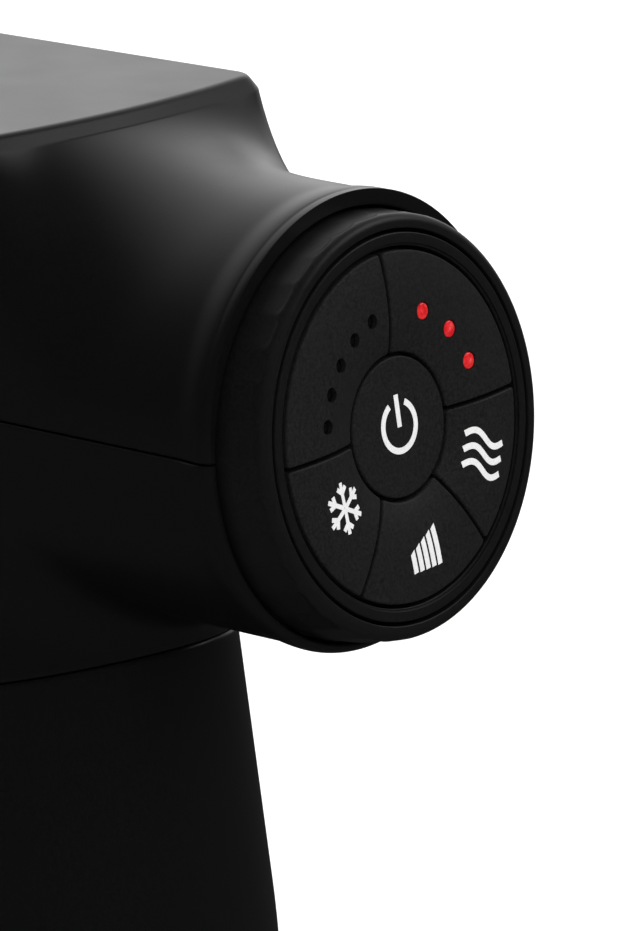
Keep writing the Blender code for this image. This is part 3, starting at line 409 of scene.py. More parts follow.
def headDistance(x, y, z, withTop):
    # below 0 inside: barrel, flat-topped block with a chamfer all round, and a power curve between them
    across = np.hypot(y, z)
    barrel = across - barrelRadiusAt(x, z / across)
    if not withTop:
        return barrel
    plan, endShare = blockPlan(x, y)
    out, drop = head["chamferOut"], head["chamferDrop"]
    flatTop = z - head["topRise"]
    chamfer = ((plan + out) * drop + (z - head["topRise"]) * out) / np.hypot(out, drop)
    lid = smoothMax(flatTop, chamfer, head["edgeRound"])
    side = np.where(endShare > 0.2, 1e-3, head["edgeRound"])  # no rounding where the flare leaves an end
    block = np.maximum(smoothMax(lid, plan, side), -z)
    length = np.maximum(np.where(x > 0, head["flareRear"], head["flareFront"]) * endShare, 1e-6)
    left = np.clip(1 - np.maximum(plan, 0) / length, 0, 1)
    # the flare falls from the block to the barrel's top by a power of what is left, rounded at the sides
    plain = barrelRadiusAt(x, 0)
    plainTop = np.sqrt(np.maximum(plain ** 2 - y ** 2, 0))
    sideShare = np.clip((plain - np.abs(y)) / head["flareSide"], 0, 1)
    rounding = np.sqrt(1 - (1 - sideShare) ** 2) ** (1 - left ** 2)
    flareTop = plainTop + (head["topRise"] - drop - plainTop) * rounding * left ** head["flarePower"]
    flare = np.maximum(np.maximum(z - flareTop, -z), -plan)
    return np.minimum(np.minimum(barrel, block), flare)


def spread(*runs):
    # even runs (from, to, count) joined into one rising row without repeats
    return np.unique(np.round(np.concatenate([np.linspace(a, b, n) for a, b, n in runs]), 4))


rear, front = head["topRear"], -head["topFront"]
rearOut, frontOut = rear + head["chamferOut"], front - head["chamferOut"]
stations = spread((-head["noseReach"], frontOut - 0.6, 14), (frontOut - 0.6, frontOut + 0.6, 5),
                  (frontOut + 0.6, front - 0.6, 3), (front - 0.6, front + 0.6, 6), (front + 0.6, front + 3.4, 8),
                  (front + 3.4, rear - 3.4, 44), (rear - 3.4, rear - 0.6, 12), (rear - 0.6, rear + 0.6, 9),
                  (rear + 0.6, rearOut - 0.6, 4), (rearOut - 0.6, rearOut + 0.6, 9),
                  (rearOut + 0.6, rearOut + 8, 20), (rearOut + 8, 44, 36), (44, head["lipX"] - head["lipRoll"], 9))
rollRow = head["lipX"] - head["lipRoll"] * (1 - np.sin(np.linspace(0, pi / 2, 16)))
stations = np.concatenate([stations, rollRow[1:]])


def leaningRings(angle):
    # x of every ring and ray: rings lean with the bowed ends of the top and, at the rear, with the lip
    sine = np.sin(angle)
    across = np.minimum(np.abs(head["topRise"] / np.where(np.abs(sine) < 1e-4, 1e-4, sine) * np.cos(angle))
                        / head["topHalf"], 1)
    rise = np.clip(2 * sine, 0, 1)
    x = stations[:, None]
    bow = np.maximum(0, 1 - np.abs(x - rear) / head["bowReach"])
    bow = bow - np.maximum(0, 1 - np.abs(x - front) / (head["noseReach"] - head["topFront"]))
    tilt = np.maximum(x - head["bowReach"], 0) / (head["lipX"] - head["bowReach"])
    return x - bow * rise * head["topSag"] * across ** 2 - tilt * head["lipLean"] * sine


def aboutBarrel(x, radius, angle):
    # points at a radius and an angle about the barrel's axis, at x along it
    return np.stack([0 * angle + x, radius * np.cos(angle), radius * np.sin(angle)], -1)


def radiusToForm(x, angle, withTop):
    # how far each ray about the barrel's axis runs before it leaves the form
    start, end = (np.full(np.broadcast(x, angle).shape, head[k]) for k in ("rayStart", "rayEnd"))
    return surfaceRadius(lambda r: headDistance(x, r * np.cos(angle), r * np.sin(angle), withTop), start, end)


def polarForm(angle, withTop):
    # rays at each angle about the barrel's axis, ended on the form, with both edges at the parting line eased
    here = leaningRings(angle)
    radius = radiusToForm(here, angle, withTop)
    fromParting = np.minimum(np.abs(angle - angle[:, :1]), np.abs(angle - angle[:, -1:])) * radius
    radius = radius - head["partingRound"] * np.clip(1 - fromParting / (2 * head["partingRound"]), 0, 1) ** 2
    return aboutBarrel(here, radius, angle)


def topAngles():
    # rays closer together where the top's side edges run, mirrored over the crown
    x = np.clip(stations, front, rear)
    half = topHalfAt(x)
    low = np.arctan2(head["topRise"] - head["chamferDrop"], half + head["chamferOut"])[:, None]
    high = np.arctan2(head["topRise"], half)[:, None]
    reach = radians(0.9)
    runs = [head["partingHalf"] / head["radius"] + partingRays + 0 * low]
    for a, b, count in ((0.018 + 0 * low, low - reach, 44), (low - reach, low + reach, 9),
                        (low + reach, high - reach, 4), (high - reach, high + reach, 10),
                        (high + reach, pi / 2 + 0 * low, 34)):
        runs.append(a + (b - a) * np.linspace(0, 1, count, endpoint=False))
    quarter = np.concatenate(runs, 1)
    return np.concatenate([quarter, np.full((len(x), 1), pi / 2), pi - quarter[:, ::-1]], 1)


def lowAngles():
    # even rays below the parting line, closer together beside it
    beside = head["partingHalf"] / head["radius"] + np.append(partingRays, 0.014)
    quarter = np.concatenate([beside, np.linspace(0.03, pi / 2, 60)])
    half = np.concatenate([quarter, pi - quarter[-2::-1]])
    return np.broadcast_to(-half, (len(stations), len(half)))


def dialRow(radius, height, angle):
    # a ring about the dial's axis, given back in the barrel's frame
    return placed(aboutZ(radius, angle, height), barrelPlace.inverted() @ dialPlace)


# Room inside the housing, in mm: nose bore, stations of the main room, bulkhead bore under the dial
room = {"noseBore": 17.3, "noseFront": -72, "bulkheadBore": 19, "wallShare": 1.25, "rays": 160, "rayTurn": 0.013,
        "stations": (-65, -62, -59, -56, -53, -50, -44, -20, 0, 6, 9, 11, 13, 15, 17, 20, 23, 26, 30, 35.8)}


def cavityForm():
    # the room inside both halves: barrel less its wall, a bulkhead, and the dial's pocket with an eased mouth
    angle = np.arange(room["rays"]) * 2 * pi / room["rays"] + room["rayTurn"]
    rows = [aboutBarrel(x, room["noseBore"], angle) for x in (room["noseFront"], room["stations"][0])]
    for x in room["stations"]:
        # the least outer radius within 3 mm either way, less the wall
        near = x + np.array([-3, -1.5, 0, 1.5, 3])[:, None]
        upper = radiusToForm(near, angle, True).min(0)
        radius = np.where(np.sin(angle) > 0, upper, barrelRadiusAt(x, 0)) - head["wall"] * room["wallShare"]
        rows.append(aboutBarrel(x, radius, angle))
    rows.append(aboutBarrel(room["stations"][-1], room["bulkheadBore"], angle))
    rows += [dialRow(r, -head["pocketDepth"], angle) for r in (room["bulkheadBore"], head["pocketRadius"])]
    # the pocket's wall runs out along the dial's axis until it meets the lip's leaning plane
    base, above = (dialRow(head["pocketRadius"], h, angle) for h in (0, 1))
    lean = head["lipLean"] / head["radius"]
    level = base[..., 0] + base[..., 2] * lean
    mouth = (head["lipX"] - level) / (above[..., 0] + above[..., 2] * lean - level)
    edge = head["lipEdge"]
    for t in np.linspace(0, pi / 2, 6):
        rows.append(dialRow(head["pocketRadius"] + edge * (1 - np.cos(t)), mouth - edge * (1 - np.sin(t)), angle))
    rows.append(dialRow(head["pocketRadius"] + edge, mouth + 6, angle))
    return np.stack(rows)


# Collar, in mm about the barrel's axis: what carries the handle, with a bay for its spigot and a way for the wires
collar = {"neckRadius": 22.9, "slope": 5.5 / 43, "seamDrop": 40.7, "seamSlope": np.tan(radians(14)),
          "reach": 9, "top": -13, "tuck": 0.012, "edgeRound": 0.16, "rays": 220,
          "bay": 19.8, "bayTop": -8, "bayLow": -75, "floor": -31, "floorThick": 2.2,
          "wires": 4.5, "wiresTop": -20, "wiresLow": -60}


def collarForm():
    # rays about the handle's axis, from the sloping seam up through the fillet into the barrel; the seam's height
    # and the radius there depend on each other, so they are worked out three times over
    angle = np.arange(collar["rays"]) * 2 * pi / collar["rays"]
    share = np.concatenate([[0, 0.004, 0.008, 0.014, 0.025], np.linspace(0.05, 1, 60)])[:, None]
    radius = np.full((len(share), len(angle)), collar["neckRadius"])
    for again in range(3):
        seam = -collar["seamDrop"] + radius[:1] * np.cos(angle) * collar["seamSlope"]
        z = seam + (collar["top"] - seam) * share
        limit = collar["neckRadius"] - collar["slope"] * (z + collar["seamDrop"])

        def distance(r):
            x, y = r * np.cos(angle), r * np.sin(angle)
            return smoothMin(headDistance(x, y, z, False), r - limit, collar["reach"]) + collar["tuck"]

        radius = surfaceRadius(distance, head["rayStart"] + 0 * z, limit + collar["reach"])
    up = z - seam
    radius = radius - collar["edgeRound"] * np.clip(1 - up / (2 * collar["edgeRound"]), 0, 1) ** 2
    return aboutZ(radius, angle, z)


def makeHousings():
    cavity = meshFrom("cavity", cavityForm(), barrelPlace)
    solid = meshFrom("upper", polarForm(topAngles(), True), barrelPlace)
    upper = combined(solid, [cavity], "DIFFERENCE")
    finishPiece("upperHousingShell", upper, bodyFinish, "shell", ["upper_housing"])
    print("upper housing:", len(upper.polygons), "faces")

    barrel = meshFrom("lower", polarForm(lowAngles(), False), barrelPlace)
    neck = meshFrom("neck", collarForm(), barrelPlace)
    joined = combined(barrel, [neck], "UNION")
    floor = collar["floor"]
    bays = [turnedMesh("bay", [(0, top), (radius, top), (radius, low), (0, low)], barrelPlace, 90)
            for radius, low, top in ((collar["bay"], floor, collar["bayTop"]),
                                     (collar["bay"], collar["bayLow"], floor - collar["floorThick"]),
                                     (collar["wires"], collar["wiresLow"], collar["wiresTop"]))]
    lower = combined(joined, [cavity] + bays, "DIFFERENCE")
    finishPiece("lowerHousingShell", lower, bodyFinish, "shell", ["lower_housing"])
    print("lower housing:", len(lower.polygons), "faces")


makeHousings()

# Handle, in mm from its foot
grip = {"neckRadius": 22.9, "gripRadius": 28.4, "footRadius": 27.4, "coneLength": 33, "easeLength": 20,
        "footEase": 30, "seamHeight": 131.8, "seamSlope": np.tan(radians(14)), "seamGap": 0.3, "slope": 5.5 / 43,
        "edgeRound": 0.2, "wall": 2.4, "bottom": 4.4, "rays": 200}
portSlot = {"clearance": 0.3, "inside": 0.2, "outside": 34, "corner": 1.4}
foot = {"lift": 0.6, "top": 4.1, "radius": 27.4, "round": 1.4, "seat": 1.9, "spigot": 24.7, "spigotWidth": 2.6,
        "spigotTop": 5.9, "padRadius": 24, "padTop": 1.6, "padGap": 0.3}


def gripRadiusAt(z):
    # a cone under the seam, eased by a parabola into the straight grip, and drawn in by a parabola at the foot
    below = grip["seamHeight"] - z
    past = np.clip(below - grip["coneLength"], 0, grip["easeLength"])
    eased = past - past ** 2 / (2 * grip["easeLength"])
    cone = grip["neckRadius"] + grip["slope"] * (np.minimum(below, grip["coneLength"]) + eased)
    nearFoot = np.clip((grip["footEase"] - z) / grip["footEase"], 0, 1)
    straight = grip["gripRadius"] - (grip["gripRadius"] - grip["footRadius"]) * nearFoot ** 2
    return np.where(past >= grip["easeLength"], straight, cone)


def handleForm():
    # rings from the foot to the sloping seam outside, and back down inside the wall
    angle = np.arange(grip["rays"]) * 2 * pi / grip["rays"]
    share = np.concatenate([[0, 0.001, 0.0025], np.linspace(0.005, 0.99, 120), [0.994, 0.997, 0.9985, 1]])[:, None]
    radius = np.full((1, len(angle)), grip["neckRadius"])
    for again in range(3):
        seam = grip["seamHeight"] - grip["seamGap"] + radius * np.cos(angle) * grip["seamSlope"]
        radius = gripRadiusAt(seam)
    z = grip["bottom"] + (seam - grip["bottom"]) * share
    r = gripRadiusAt(z)
    fromEdge = np.minimum(z - grip["bottom"], seam - z)
    eased = r - grip["edgeRound"] * np.clip(1 - fromEdge / (2 * grip["edgeRound"]), 0, 1) ** 2
    inner = aboutZ(r - grip["wall"], angle, z)
    return np.concatenate([aboutZ(eased, angle, z), inner[::-6], inner[:1]])  # every sixth ring is enough inside


def makeHandle():
    shell = meshFrom("handle", handleForm(), basePlace, ring=True)
    # the port's slot: its box with a little clearance and round corners, run out through the wall
    portLow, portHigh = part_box("usb_port")
    gap, corner = portSlot["clearance"], portSlot["corner"]
    half, low, high = portHigh.y / mm + gap, portLow.z / mm - gap, portHigh.z / mm + gap
    outline = roundedPath([(-half, low, corner), (half, low, corner), (half, high, corner), (-half, high, corner)],
                          8, True)
    rows = np.stack([np.stack([np.full(len(outline), x), outline[:, 0], outline[:, 1]], -1)
                     for x in (portLow.x / mm - portSlot["inside"], portSlot["outside"])])
    shell = combined(shell, [meshFrom("slot", rows, basePlace)], "DIFFERENCE")
    finishPiece("handleShell", shell, bodyFinish, "shell", ["handle_shell"])
    spigotInner, recess = foot["spigot"] - foot["spigotWidth"], foot["padRadius"] + foot["padGap"]
    cap = turnedMesh("cap", [(0, foot["top"]), (spigotInner, foot["top"]), (spigotInner, foot["spigotTop"]),
                             (foot["spigot"], foot["spigotTop"], 0.3), (foot["spigot"], foot["top"]),
                             (foot["radius"], foot["top"], 0.15), (foot["radius"], foot["lift"], foot["round"]),
                             (recess, foot["lift"], 0.15), (recess, foot["seat"]), (0, foot["seat"])],
                     basePlace, 160)
    finishPiece("footCap", cap, bodyFinish, "shell", ["base_cap"])
    pad = turnedMesh("pad", [(0, foot["padTop"]), (foot["padRadius"], foot["padTop"], 0.2),
                             (foot["padRadius"], 0, 0.5), (0, 0)], basePlace, 160)
    finishPiece("footPad", pad, rubberFinish, "shell", ["base_pad"])
    print("handle and foot made")


makeHandle()

# Dial, in mm about its own axis: x to the right, y up, z out towards the user
dial = {"radius": 28.1, "depth": 9, "rimRound": 1.3, "grooveOuter": 26.05, "grooveFloor": -7.2, "shelf": 22.6,
        "bezelOuter": 25.55, "bezelInner": 23.75, "bezelDepth": 6.9, "ledge": 24.1, "ledgeDrop": 0.28,
        "keyOuter": 23.25, "keyInner": 9.85, "powerRadius": 9.35, "keyDepth": 2.5, "panelDepth": 3.0,
        "groove": 0.5, "edgeRound": 0.28, "cornerRound": 0.45}
facet = {"count": 36, "rays": 14, "soft": 0.05, "crest": 0.015, "sink": 0.05, "archLift": 0.6, "archDepth": 0.9,
         "archPower": 5, "fade": 0.5, "draft": 0.5, "draftStart": 1, "draftReach": 4.5}
keyShape = {"crown": 0.45, "crownRadius": 17, "moat": 0.7, "moatRadius": 9.6, "edgeDrop": 0.1, "edgeRadius": 23.5,
            "hub": 17.2, "powerDrop": 0.7, "powerDome": 0.12}
keyCuts = {"right": 0, "top": 90, "left": 180, "lowLeft": 238, "lowRight": 306, "round": 360}  # degrees


def keySurface(radius):
    # two parabolas from a crown ring: down to the moat inwards, and a little down outwards
    inward = (keyShape["crownRadius"] - radius) / (keyShape["crownRadius"] - keyShape["moatRadius"])
    outward = (radius - keyShape["crownRadius"]) / (keyShape["edgeRadius"] - keyShape["crownRadius"])
    return np.where(radius < keyShape["crownRadius"],
                    keyShape["crown"] - (keyShape["crown"] + keyShape["moat"]) * np.clip(inward, 0, 1.1) ** 2,
                    keyShape["crown"] - (keyShape["crown"] + keyShape["edgeDrop"]) * outward ** 2)


def knobForm():
    # a drum whose side is cut to a polygon and widens inwards; each flat ends in an arch at the rounded front edge
    count = facet["count"] * facet["rays"]
    angle = np.arange(count) * 2 * pi / count
    step = 2 * pi / facet["count"]
    local = (angle + step / 2) % step - step / 2
    apothem = dial["radius"] * np.cos(step / 2)
    polygon = smoothMin(apothem / np.cos(local), dial["radius"] - facet["crest"] + 0 * local, facet["soft"])
    sink = dial["radius"] - polygon + facet["sink"]
    t = np.linspace(0, pi / 2, 16)
    centre = dial["radius"] - dial["rimRound"]
    arc = np.stack([centre + dial["rimRound"] * np.cos(t), dial["rimRound"] * (np.sin(t) - 1)], -1)
    side = np.stack([np.full(26, dial["radius"]), np.linspace(-dial["depth"], -dial["rimRound"], 27)[:-1]], -1)
    tail = roundedPath([(centre, 0), (dial["grooveOuter"], 0, 0.18), (dial["grooveOuter"], dial["grooveFloor"]),
                        (dial["shelf"], dial["grooveFloor"]), (dial["shelf"], -dial["depth"]),
                        (dial["radius"] - 0.3, -dial["depth"])], 5)
    profile = np.concatenate([side, arc, tail[1:]])
    r, z = profile[:, :1], profile[:, 1:]
    bend = np.abs(local / (step / 2)) ** facet["archPower"]
    arch = -dial["rimRound"] * facet["archLift"] - facet["archDepth"] * bend
    fade = np.clip((arch - z) / facet["fade"], 0, 1)
    fade = fade * fade * (3 - 2 * fade)
    draft = facet["draft"] * np.clip((-z - facet["draftStart"]) / facet["draftReach"], 0, 1)
    isSide = (np.arange(len(profile)) < len(side) + len(arc))[:, None]
    radius = r - np.where(isSide, sink * fade, 0) + np.where(isSide, draft, 0)
    return aboutZ(radius, angle, z)


def sectorOutline(start, end, count=260):
    # a ring sector with its corners rounded, as an even row of points, and the outward direction at each
    inner, outer, half = dial["keyInner"], dial["keyOuter"], dial["groove"] / 2
    a0, a1 = start + half / outer, end - half / outer
    b0, b1 = start + half / inner, end - half / inner
    arcOut = np.linspace(a0, a1, 60)
    arcIn = np.linspace(b1, b0, 40)
    loop = np.concatenate([outer * np.exp(1j * arcOut), inner * np.exp(1j * arcIn)])
    ends = (0, len(arcOut) - 1, len(arcOut), len(loop) - 1)
    corner = dial["cornerRound"]
    # points too near a corner would stand in the way of its arc
    clear = np.abs(loop[:, None] - loop[list(ends)]).min(1) > corner * 1.3
    keep = [(p.real, p.imag, corner if k in ends else 0) for k, p in enumerate(loop) if k in ends or clear[k]]
    path = roundedPath(keep, 6, True)
    closed = np.concatenate([path, path[:1]])
    length = np.concatenate([[0], np.cumsum(np.hypot(*np.diff(closed, axis=0).T))])
    even = np.linspace(0, length[-1], count, endpoint=False)
    row = np.stack([np.interp(even, length, closed[:, 0]), np.interp(even, length, closed[:, 1])], -1)
    ahead = np.roll(row, -1, 0) - np.roll(row, 1, 0)
    out = np.stack([ahead[:, 1], -ahead[:, 0]], -1)
    return row, out / np.linalg.norm(out, axis=1, keepdims=True)


def keyForm(start, end, depth):
    # loops inwards from the outline over a rounded edge, then scaled down to the middle, all on the dished face
    row, out = sectorOutline(start, end)
    middle = (start + end) / 2
    centre = keyShape["hub"] * np.array([np.cos(middle), np.sin(middle)])
    loops = [(row, np.full(len(row), -depth))]
    edge = dial["edgeRound"]
    for t in np.linspace(0, pi / 2, 7):
        inset = row - out * edge * (1 - np.cos(t))
        loops.append((inset, keySurface(np.hypot(*inset.T)) - edge * (1 - np.sin(t))))
    inset = row - out * edge
    for share in np.concatenate([[0.985, 0.96], np.linspace(0.92, 0, 30)]):  # closer together at the edge
        ring = centre + (inset - centre) * share
        loops.append((ring, keySurface(np.hypot(*ring.T))))
    return np.stack([np.concatenate([p, z[:, None]], 1) for p, z in loops])


def turnedAt(name, profile, x, y, sharp=32):
    # a small turned piece set square on the dial at (x, y)
    return meshFrom(name, turnedGrid(profile, 40) + np.array([x, y, 0]), dialPlace, sharp)


def bore(radius, x, y, low=-9, high=3, easing=0.0, surface=0.0):
    # a round cutter whose mouth opens by a small countersink at the surface
    wide = radius + easing * 2
    profile = [(0, low), (radius, low), (radius, surface - easing), (wide, surface + easing), (wide, high), (0, high)]
    return turnedAt("bore", np.array(profile, float), x, y)


lamp = {"ring": 15.5, "dome": 0.22, "mouth": 0.06,
        "heat": {"radius": 1.1, "gap": 0.12, "sink": -0.05, "angles": (65, 42.5, 20.5)},
        "speed": {"radius": 0.9, "gap": 0.06, "sink": 0.55, "angles": (104, 119.5, 135, 150.5, 166)}}


def makeLamps(stem, finish):
    # each light pipe's elliptical dome, and the hole it sits in
    radius, gap, sink = (lamp[stem][k] for k in ("radius", "gap", "sink"))
    face = float(keySurface(np.array(lamp["ring"])))
    holes = []
    for k, degrees in enumerate(lamp[stem]["angles"]):
        x, y = lamp["ring"] * np.cos(radians(degrees)), lamp["ring"] * np.sin(radians(degrees))
        t = np.linspace(0, pi / 2, 9)
        dome = np.stack([radius * np.sin(t), face - sink - lamp["dome"] * (1 - np.cos(t))], -1)
        profile = np.concatenate([dome, [[radius, -dial["panelDepth"]], [0, -dial["panelDepth"]]]])
        mesh = turnedAt("lamp", profile, x, y, 50)
        finishPiece(f"{stem}Lamp{k + 1}", mesh, finish, "shell", [f"{stem}_light_{k + 1}"])
        holes.append(bore(radius + gap, x, y, easing=lamp["mouth"], surface=face))
    return holes


def strokeForm(path, width, surfaceAt, slant=0.0, raised=0.035, buried=0.1):
    # a strip of constant width along a path, draped on the surface: two top rails and two bottom rails, whose ends
    # are cut aslant by moving one side on and the other back
    path = np.asarray(path, float)
    along = np.gradient(path, axis=0)
    along /= np.linalg.norm(along, axis=1, keepdims=True)
    side = np.stack([-along[:, 1], along[:, 0]], -1) * width / 2
    left, right = path + side, path - side
    left[-1] += along[-1] * slant
    right[-1] -= along[-1] * slant
    rails = []
    for rail, offset in ((left, raised), (right, raised), (right, -buried), (left, -buried)):
        z = surfaceAt(np.hypot(*rail.T)) + offset
        rails.append(np.concatenate([rail, z[:, None]], 1))
    return np.stack(rails, 1)


def line(a, b, count=12):
    # even points from one end to the other
    t = np.linspace(0, 1, count)[:, None]
    return np.array(a) + (np.array(b) - np.array(a)) * t


def powerSurface(radius):
    # a shallow parabola dome
    return -keyShape["powerDrop"] + keyShape["powerDome"] * (1 - (radius / dial["powerRadius"]) ** 2)


def printSymbol(name, strokes, surfaceAt, body):
    # strokes: (path, width, how far the end is cut aslant); all joined into one print
    meshes = [meshFrom("stroke", strokeForm(path, width, surfaceAt, slant), dialPlace, 60)
              for path, width, slant in strokes]
    mesh = combined(meshes[0], meshes[1:], "UNION", 60) if len(meshes) > 1 else meshes[0]
    finishPiece(name, mesh, inkFinish, body)


# Printed symbols, in mm on the dial's face: an open ring and a bar, three waves, five bars and a snowflake
symbols = {"power": {"radius": 3.3, "width": 0.85, "gap": 28, "barTop": 4.35, "barLow": 0.0, "lift": 0.15},
           "heat": {"start": (12.1, -3.9), "end": (19.1, -6.9), "step": (-0.75, -1.95), "swing": 0.78, "width": 0.85},
           "level": {"bottom": -19.35, "left": -1.95, "right": 3.9, "lowTop": -16.45, "highTop": -14.05,
                     "width": 0.88, "lean": 7, "slant": 0.25},
           "cold": {"centre": (-13.9, -7.35), "arm": 3.5, "lean": 4, "width": 0.62, "overlap": 0.2,
                    "branch": 0.58, "branchLength": 1.2, "branchTurn": 48}}


def printAll():
    p = symbols["power"]
    arc = np.radians(np.linspace(90 + p["gap"], 450 - p["gap"], 60))
    ring = np.stack([p["radius"] * np.cos(arc), p["lift"] + p["radius"] * np.sin(arc)], -1)
    printSymbol("powerSymbol", [(ring, p["width"], 0), (line((0, p["barTop"]), (0, p["barLow"])), p["width"], 0)],
                powerSurface, "power_key")
    h = symbols["heat"]
    t = np.linspace(0, 1, 40)[:, None]
    start, end = np.array(h["start"]), np.array(h["end"])
    along = (end - start) / np.linalg.norm(end - start)
    across = np.array([-along[1], along[0]])
    wave = start + (end - start) * t + across * h["swing"] * np.sin(2 * pi * t)
    for k in range(3):
        printSymbol(f"heatWave{k + 1}", [(wave + np.array(h["step"]) * k, h["width"], 0)], keySurface, "heat_key")
    b = symbols["level"]
    lean = np.tan(radians(b["lean"]))
    for k in range(5):
        share = k / 4
        x = b["left"] + b["width"] / 2 + (b["right"] - b["left"] - b["width"]) * share
        top = b["lowTop"] + (b["highTop"] - b["lowTop"]) * share
        bar = line((x, b["bottom"]), (x - (top - b["bottom"]) * lean, top))
        printSymbol(f"levelBar{k + 1}", [(bar, b["width"], -b["slant"])], keySurface, "level_key")
    c = symbols["cold"]
    centre = np.array(c["centre"])
    strokes = []
    for k in range(6):
        a = radians(90 + c["lean"] + 60 * k)
        out = np.array([np.cos(a), np.sin(a)])
        strokes.append((line(centre - out * c["overlap"], centre + out * c["arm"]), c["width"], 0))
        knee = centre + out * c["arm"] * c["branch"]
        for turn in (c["branchTurn"], -c["branchTurn"]):
            aside = a + radians(turn)
            tip = knee + np.array([np.cos(aside), np.sin(aside)]) * c["branchLength"]
            strokes.append((line(knee, tip), c["width"], 0))
    printSymbol("coldSymbol", strokes, keySurface, "cold_key")


def makeDial():
    knob = meshFrom("knob", knobForm(), dialPlace, ring=True)
    finishPiece("dialKnob", knob, knobFinish, "shell", ["dial_ring"])
    low, drop = -dial["bezelDepth"], -dial["ledgeDrop"]
    bezel = turnedMesh("bezel", [(dial["bezelOuter"], 0, 0.22), (dial["bezelOuter"], low), (dial["bezelInner"], low),
                                 (dial["bezelInner"], drop, 0.16), (dial["ledge"], drop, 0.05),
                                 (dial["ledge"], 0, 0.12)], dialPlace, 220, True)
    finishPiece("dialBezel", bezel, knobFinish, "shell", ["dial_bezel"])
    at = {k: radians(v) for k, v in keyCuts.items()}
    for name, node, start, end, body in (("coldKey", "cold_button", "left", "lowLeft", "cold_key"),
                                         ("levelKey", "level_button", "lowLeft", "lowRight", "level_key"),
                                         ("heatKey", "heat_button", "lowRight", "round", "heat_key")):
        mesh = meshFrom(name, keyForm(at[start], at[end], dial["keyDepth"]), dialPlace)
        finishPiece(name, mesh, keyFinish, body, [node])
    heatHoles, speedHoles = makeLamps("heat", redFinish), makeLamps("speed", smokeFinish)
    for name, node, start, end, holes in (("heatPanel", "heat_panel", "right", "top", heatHoles),
                                          ("speedPanel", "speed_panel", "top", "left", speedHoles)):
        mesh = meshFrom(name, keyForm(at[start], at[end], dial["panelDepth"]), dialPlace)
        finishPiece(name, combined(mesh, holes, "DIFFERENCE"), keyFinish, "shell", [node])
    r, edge = dial["powerRadius"], dial["edgeRound"]
    inner = np.linspace(0, r - edge, 16)
    t = np.linspace(0, pi / 2, 7)[::-1]
    rim = np.stack([r - edge * (1 - np.cos(t)), powerSurface(r - edge) - edge * (1 - np.sin(t))], -1)
    profile = np.concatenate([np.stack([inner, powerSurface(inner)], -1), rim[1:],
                              [[r, -dial["keyDepth"]], [0, -dial["keyDepth"]]]])
    mesh = meshFrom("powerKey", turnedGrid(profile, 160), dialPlace)
    finishPiece("powerKey", mesh, keyFinish, "power_key", ["power_button"])
    printAll()
    print("dial made")


makeDial()

# Nose and pull-off head, in mm along the barrel's axis towards the front
nose = {"ringLow": 68.3, "ringTop": 77.3, "radius": 25.5, "frontRadius": 21.5, "shoulder": 3, "wall": 1.7,
        "bore": 11.6, "seat": 71.3}
pullHead = {"radius": 24.5, "neck": 13.5, "neckLength": 5, "flare": 8, "bore": 9.12, "boreLength": 14.3, "shell": 3,
            "plateGap": 0.3, "plateEdge": 0.4, "plateDome": 1.6}


def makeNoseAndHead():
    n, h = nose, pullHead
    inner = n["radius"] - n["wall"]
    ring = turnedMesh("noseRing", [(n["bore"], n["ringTop"], 0.5), (n["frontRadius"], n["ringTop"], 1.6),
                                   (n["radius"], n["ringTop"] - n["shoulder"], 2.4), (n["radius"], n["ringLow"], 0.2),
                                   (inner, n["ringLow"]), (inner, n["seat"]), (n["bore"], n["seat"])],
                      nosePlace, 160, True)
    finishPiece("noseTrim", ring, bodyFinish, "shell", ["nose_ring"])
    low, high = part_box("head_body")
    rear, front = -high.x / mm, -low.x / mm
    plateLow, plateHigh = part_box("head_plate")
    plateRear, plateRadius = -plateHigh.x / mm, plateHigh.y / mm
    # from the middle of the bore's end: bore, neck, shoulder, rim, the plate's seat, and the hollow behind it
    gap, inner, boreEnd = h["plateGap"], h["radius"] - h["shell"], rear + h["boreLength"]
    neckEnd, floor = rear + h["neckLength"], rear + h["boreLength"] + h["shell"]
    body = turnedMesh("headBody", [(0, boreEnd), (h["bore"], boreEnd), (h["bore"], rear, 0.3),
                                   (h["neck"], rear, 0.8), (h["neck"], neckEnd, 3),
                                   ((h["neck"] + h["radius"]) / 2 + 1.2, neckEnd + h["flare"] / 2 - 1, 3),
                                   (h["radius"], neckEnd + h["flare"], 4), (h["radius"], front, 1.8),
                                   (plateRadius + gap, front, 0.25), (plateRadius + gap, plateRear - gap),
                                   (inner, plateRear - gap), (inner, floor), (0, floor)], nosePlace, 160)
    finishPiece("headBody", body, knobFinish, "head", ["head_body"])
    # the plate: a parabola dome inside a rounded edge
    crown = np.linspace(0, 1, 24)
    edge = h["plateEdge"]
    dome = np.stack([(plateRadius - edge) * crown, front + h["plateDome"] * (1 - crown ** 2)], -1)
    t = np.linspace(0, pi / 2, 6)
    rim = np.stack([plateRadius - edge + edge * np.sin(t), front - edge * (1 - np.cos(t))], -1)
    profile = np.concatenate([dome, rim[1:], [[plateRadius, plateRear], [0, plateRear]]])
    plate = meshFrom("headPlate", turnedGrid(profile, 160), nosePlace)
    finishPiece("headPlate", plate, aluminiumFinish, "head", ["head_plate"])
    print("nose and head made")


makeNoseAndHead()

# Floor, light and camera, in m
studio = {"floorSize": 6, "floorColour": "#E8E8E8", "floorLight": 0.45, "floorInGloss": 0.03, "fill": 0.42,
          "glossTowards": (-0.72, 0.62, 0.30), "glossFrom": 0.32, "glossPower": 1.5}
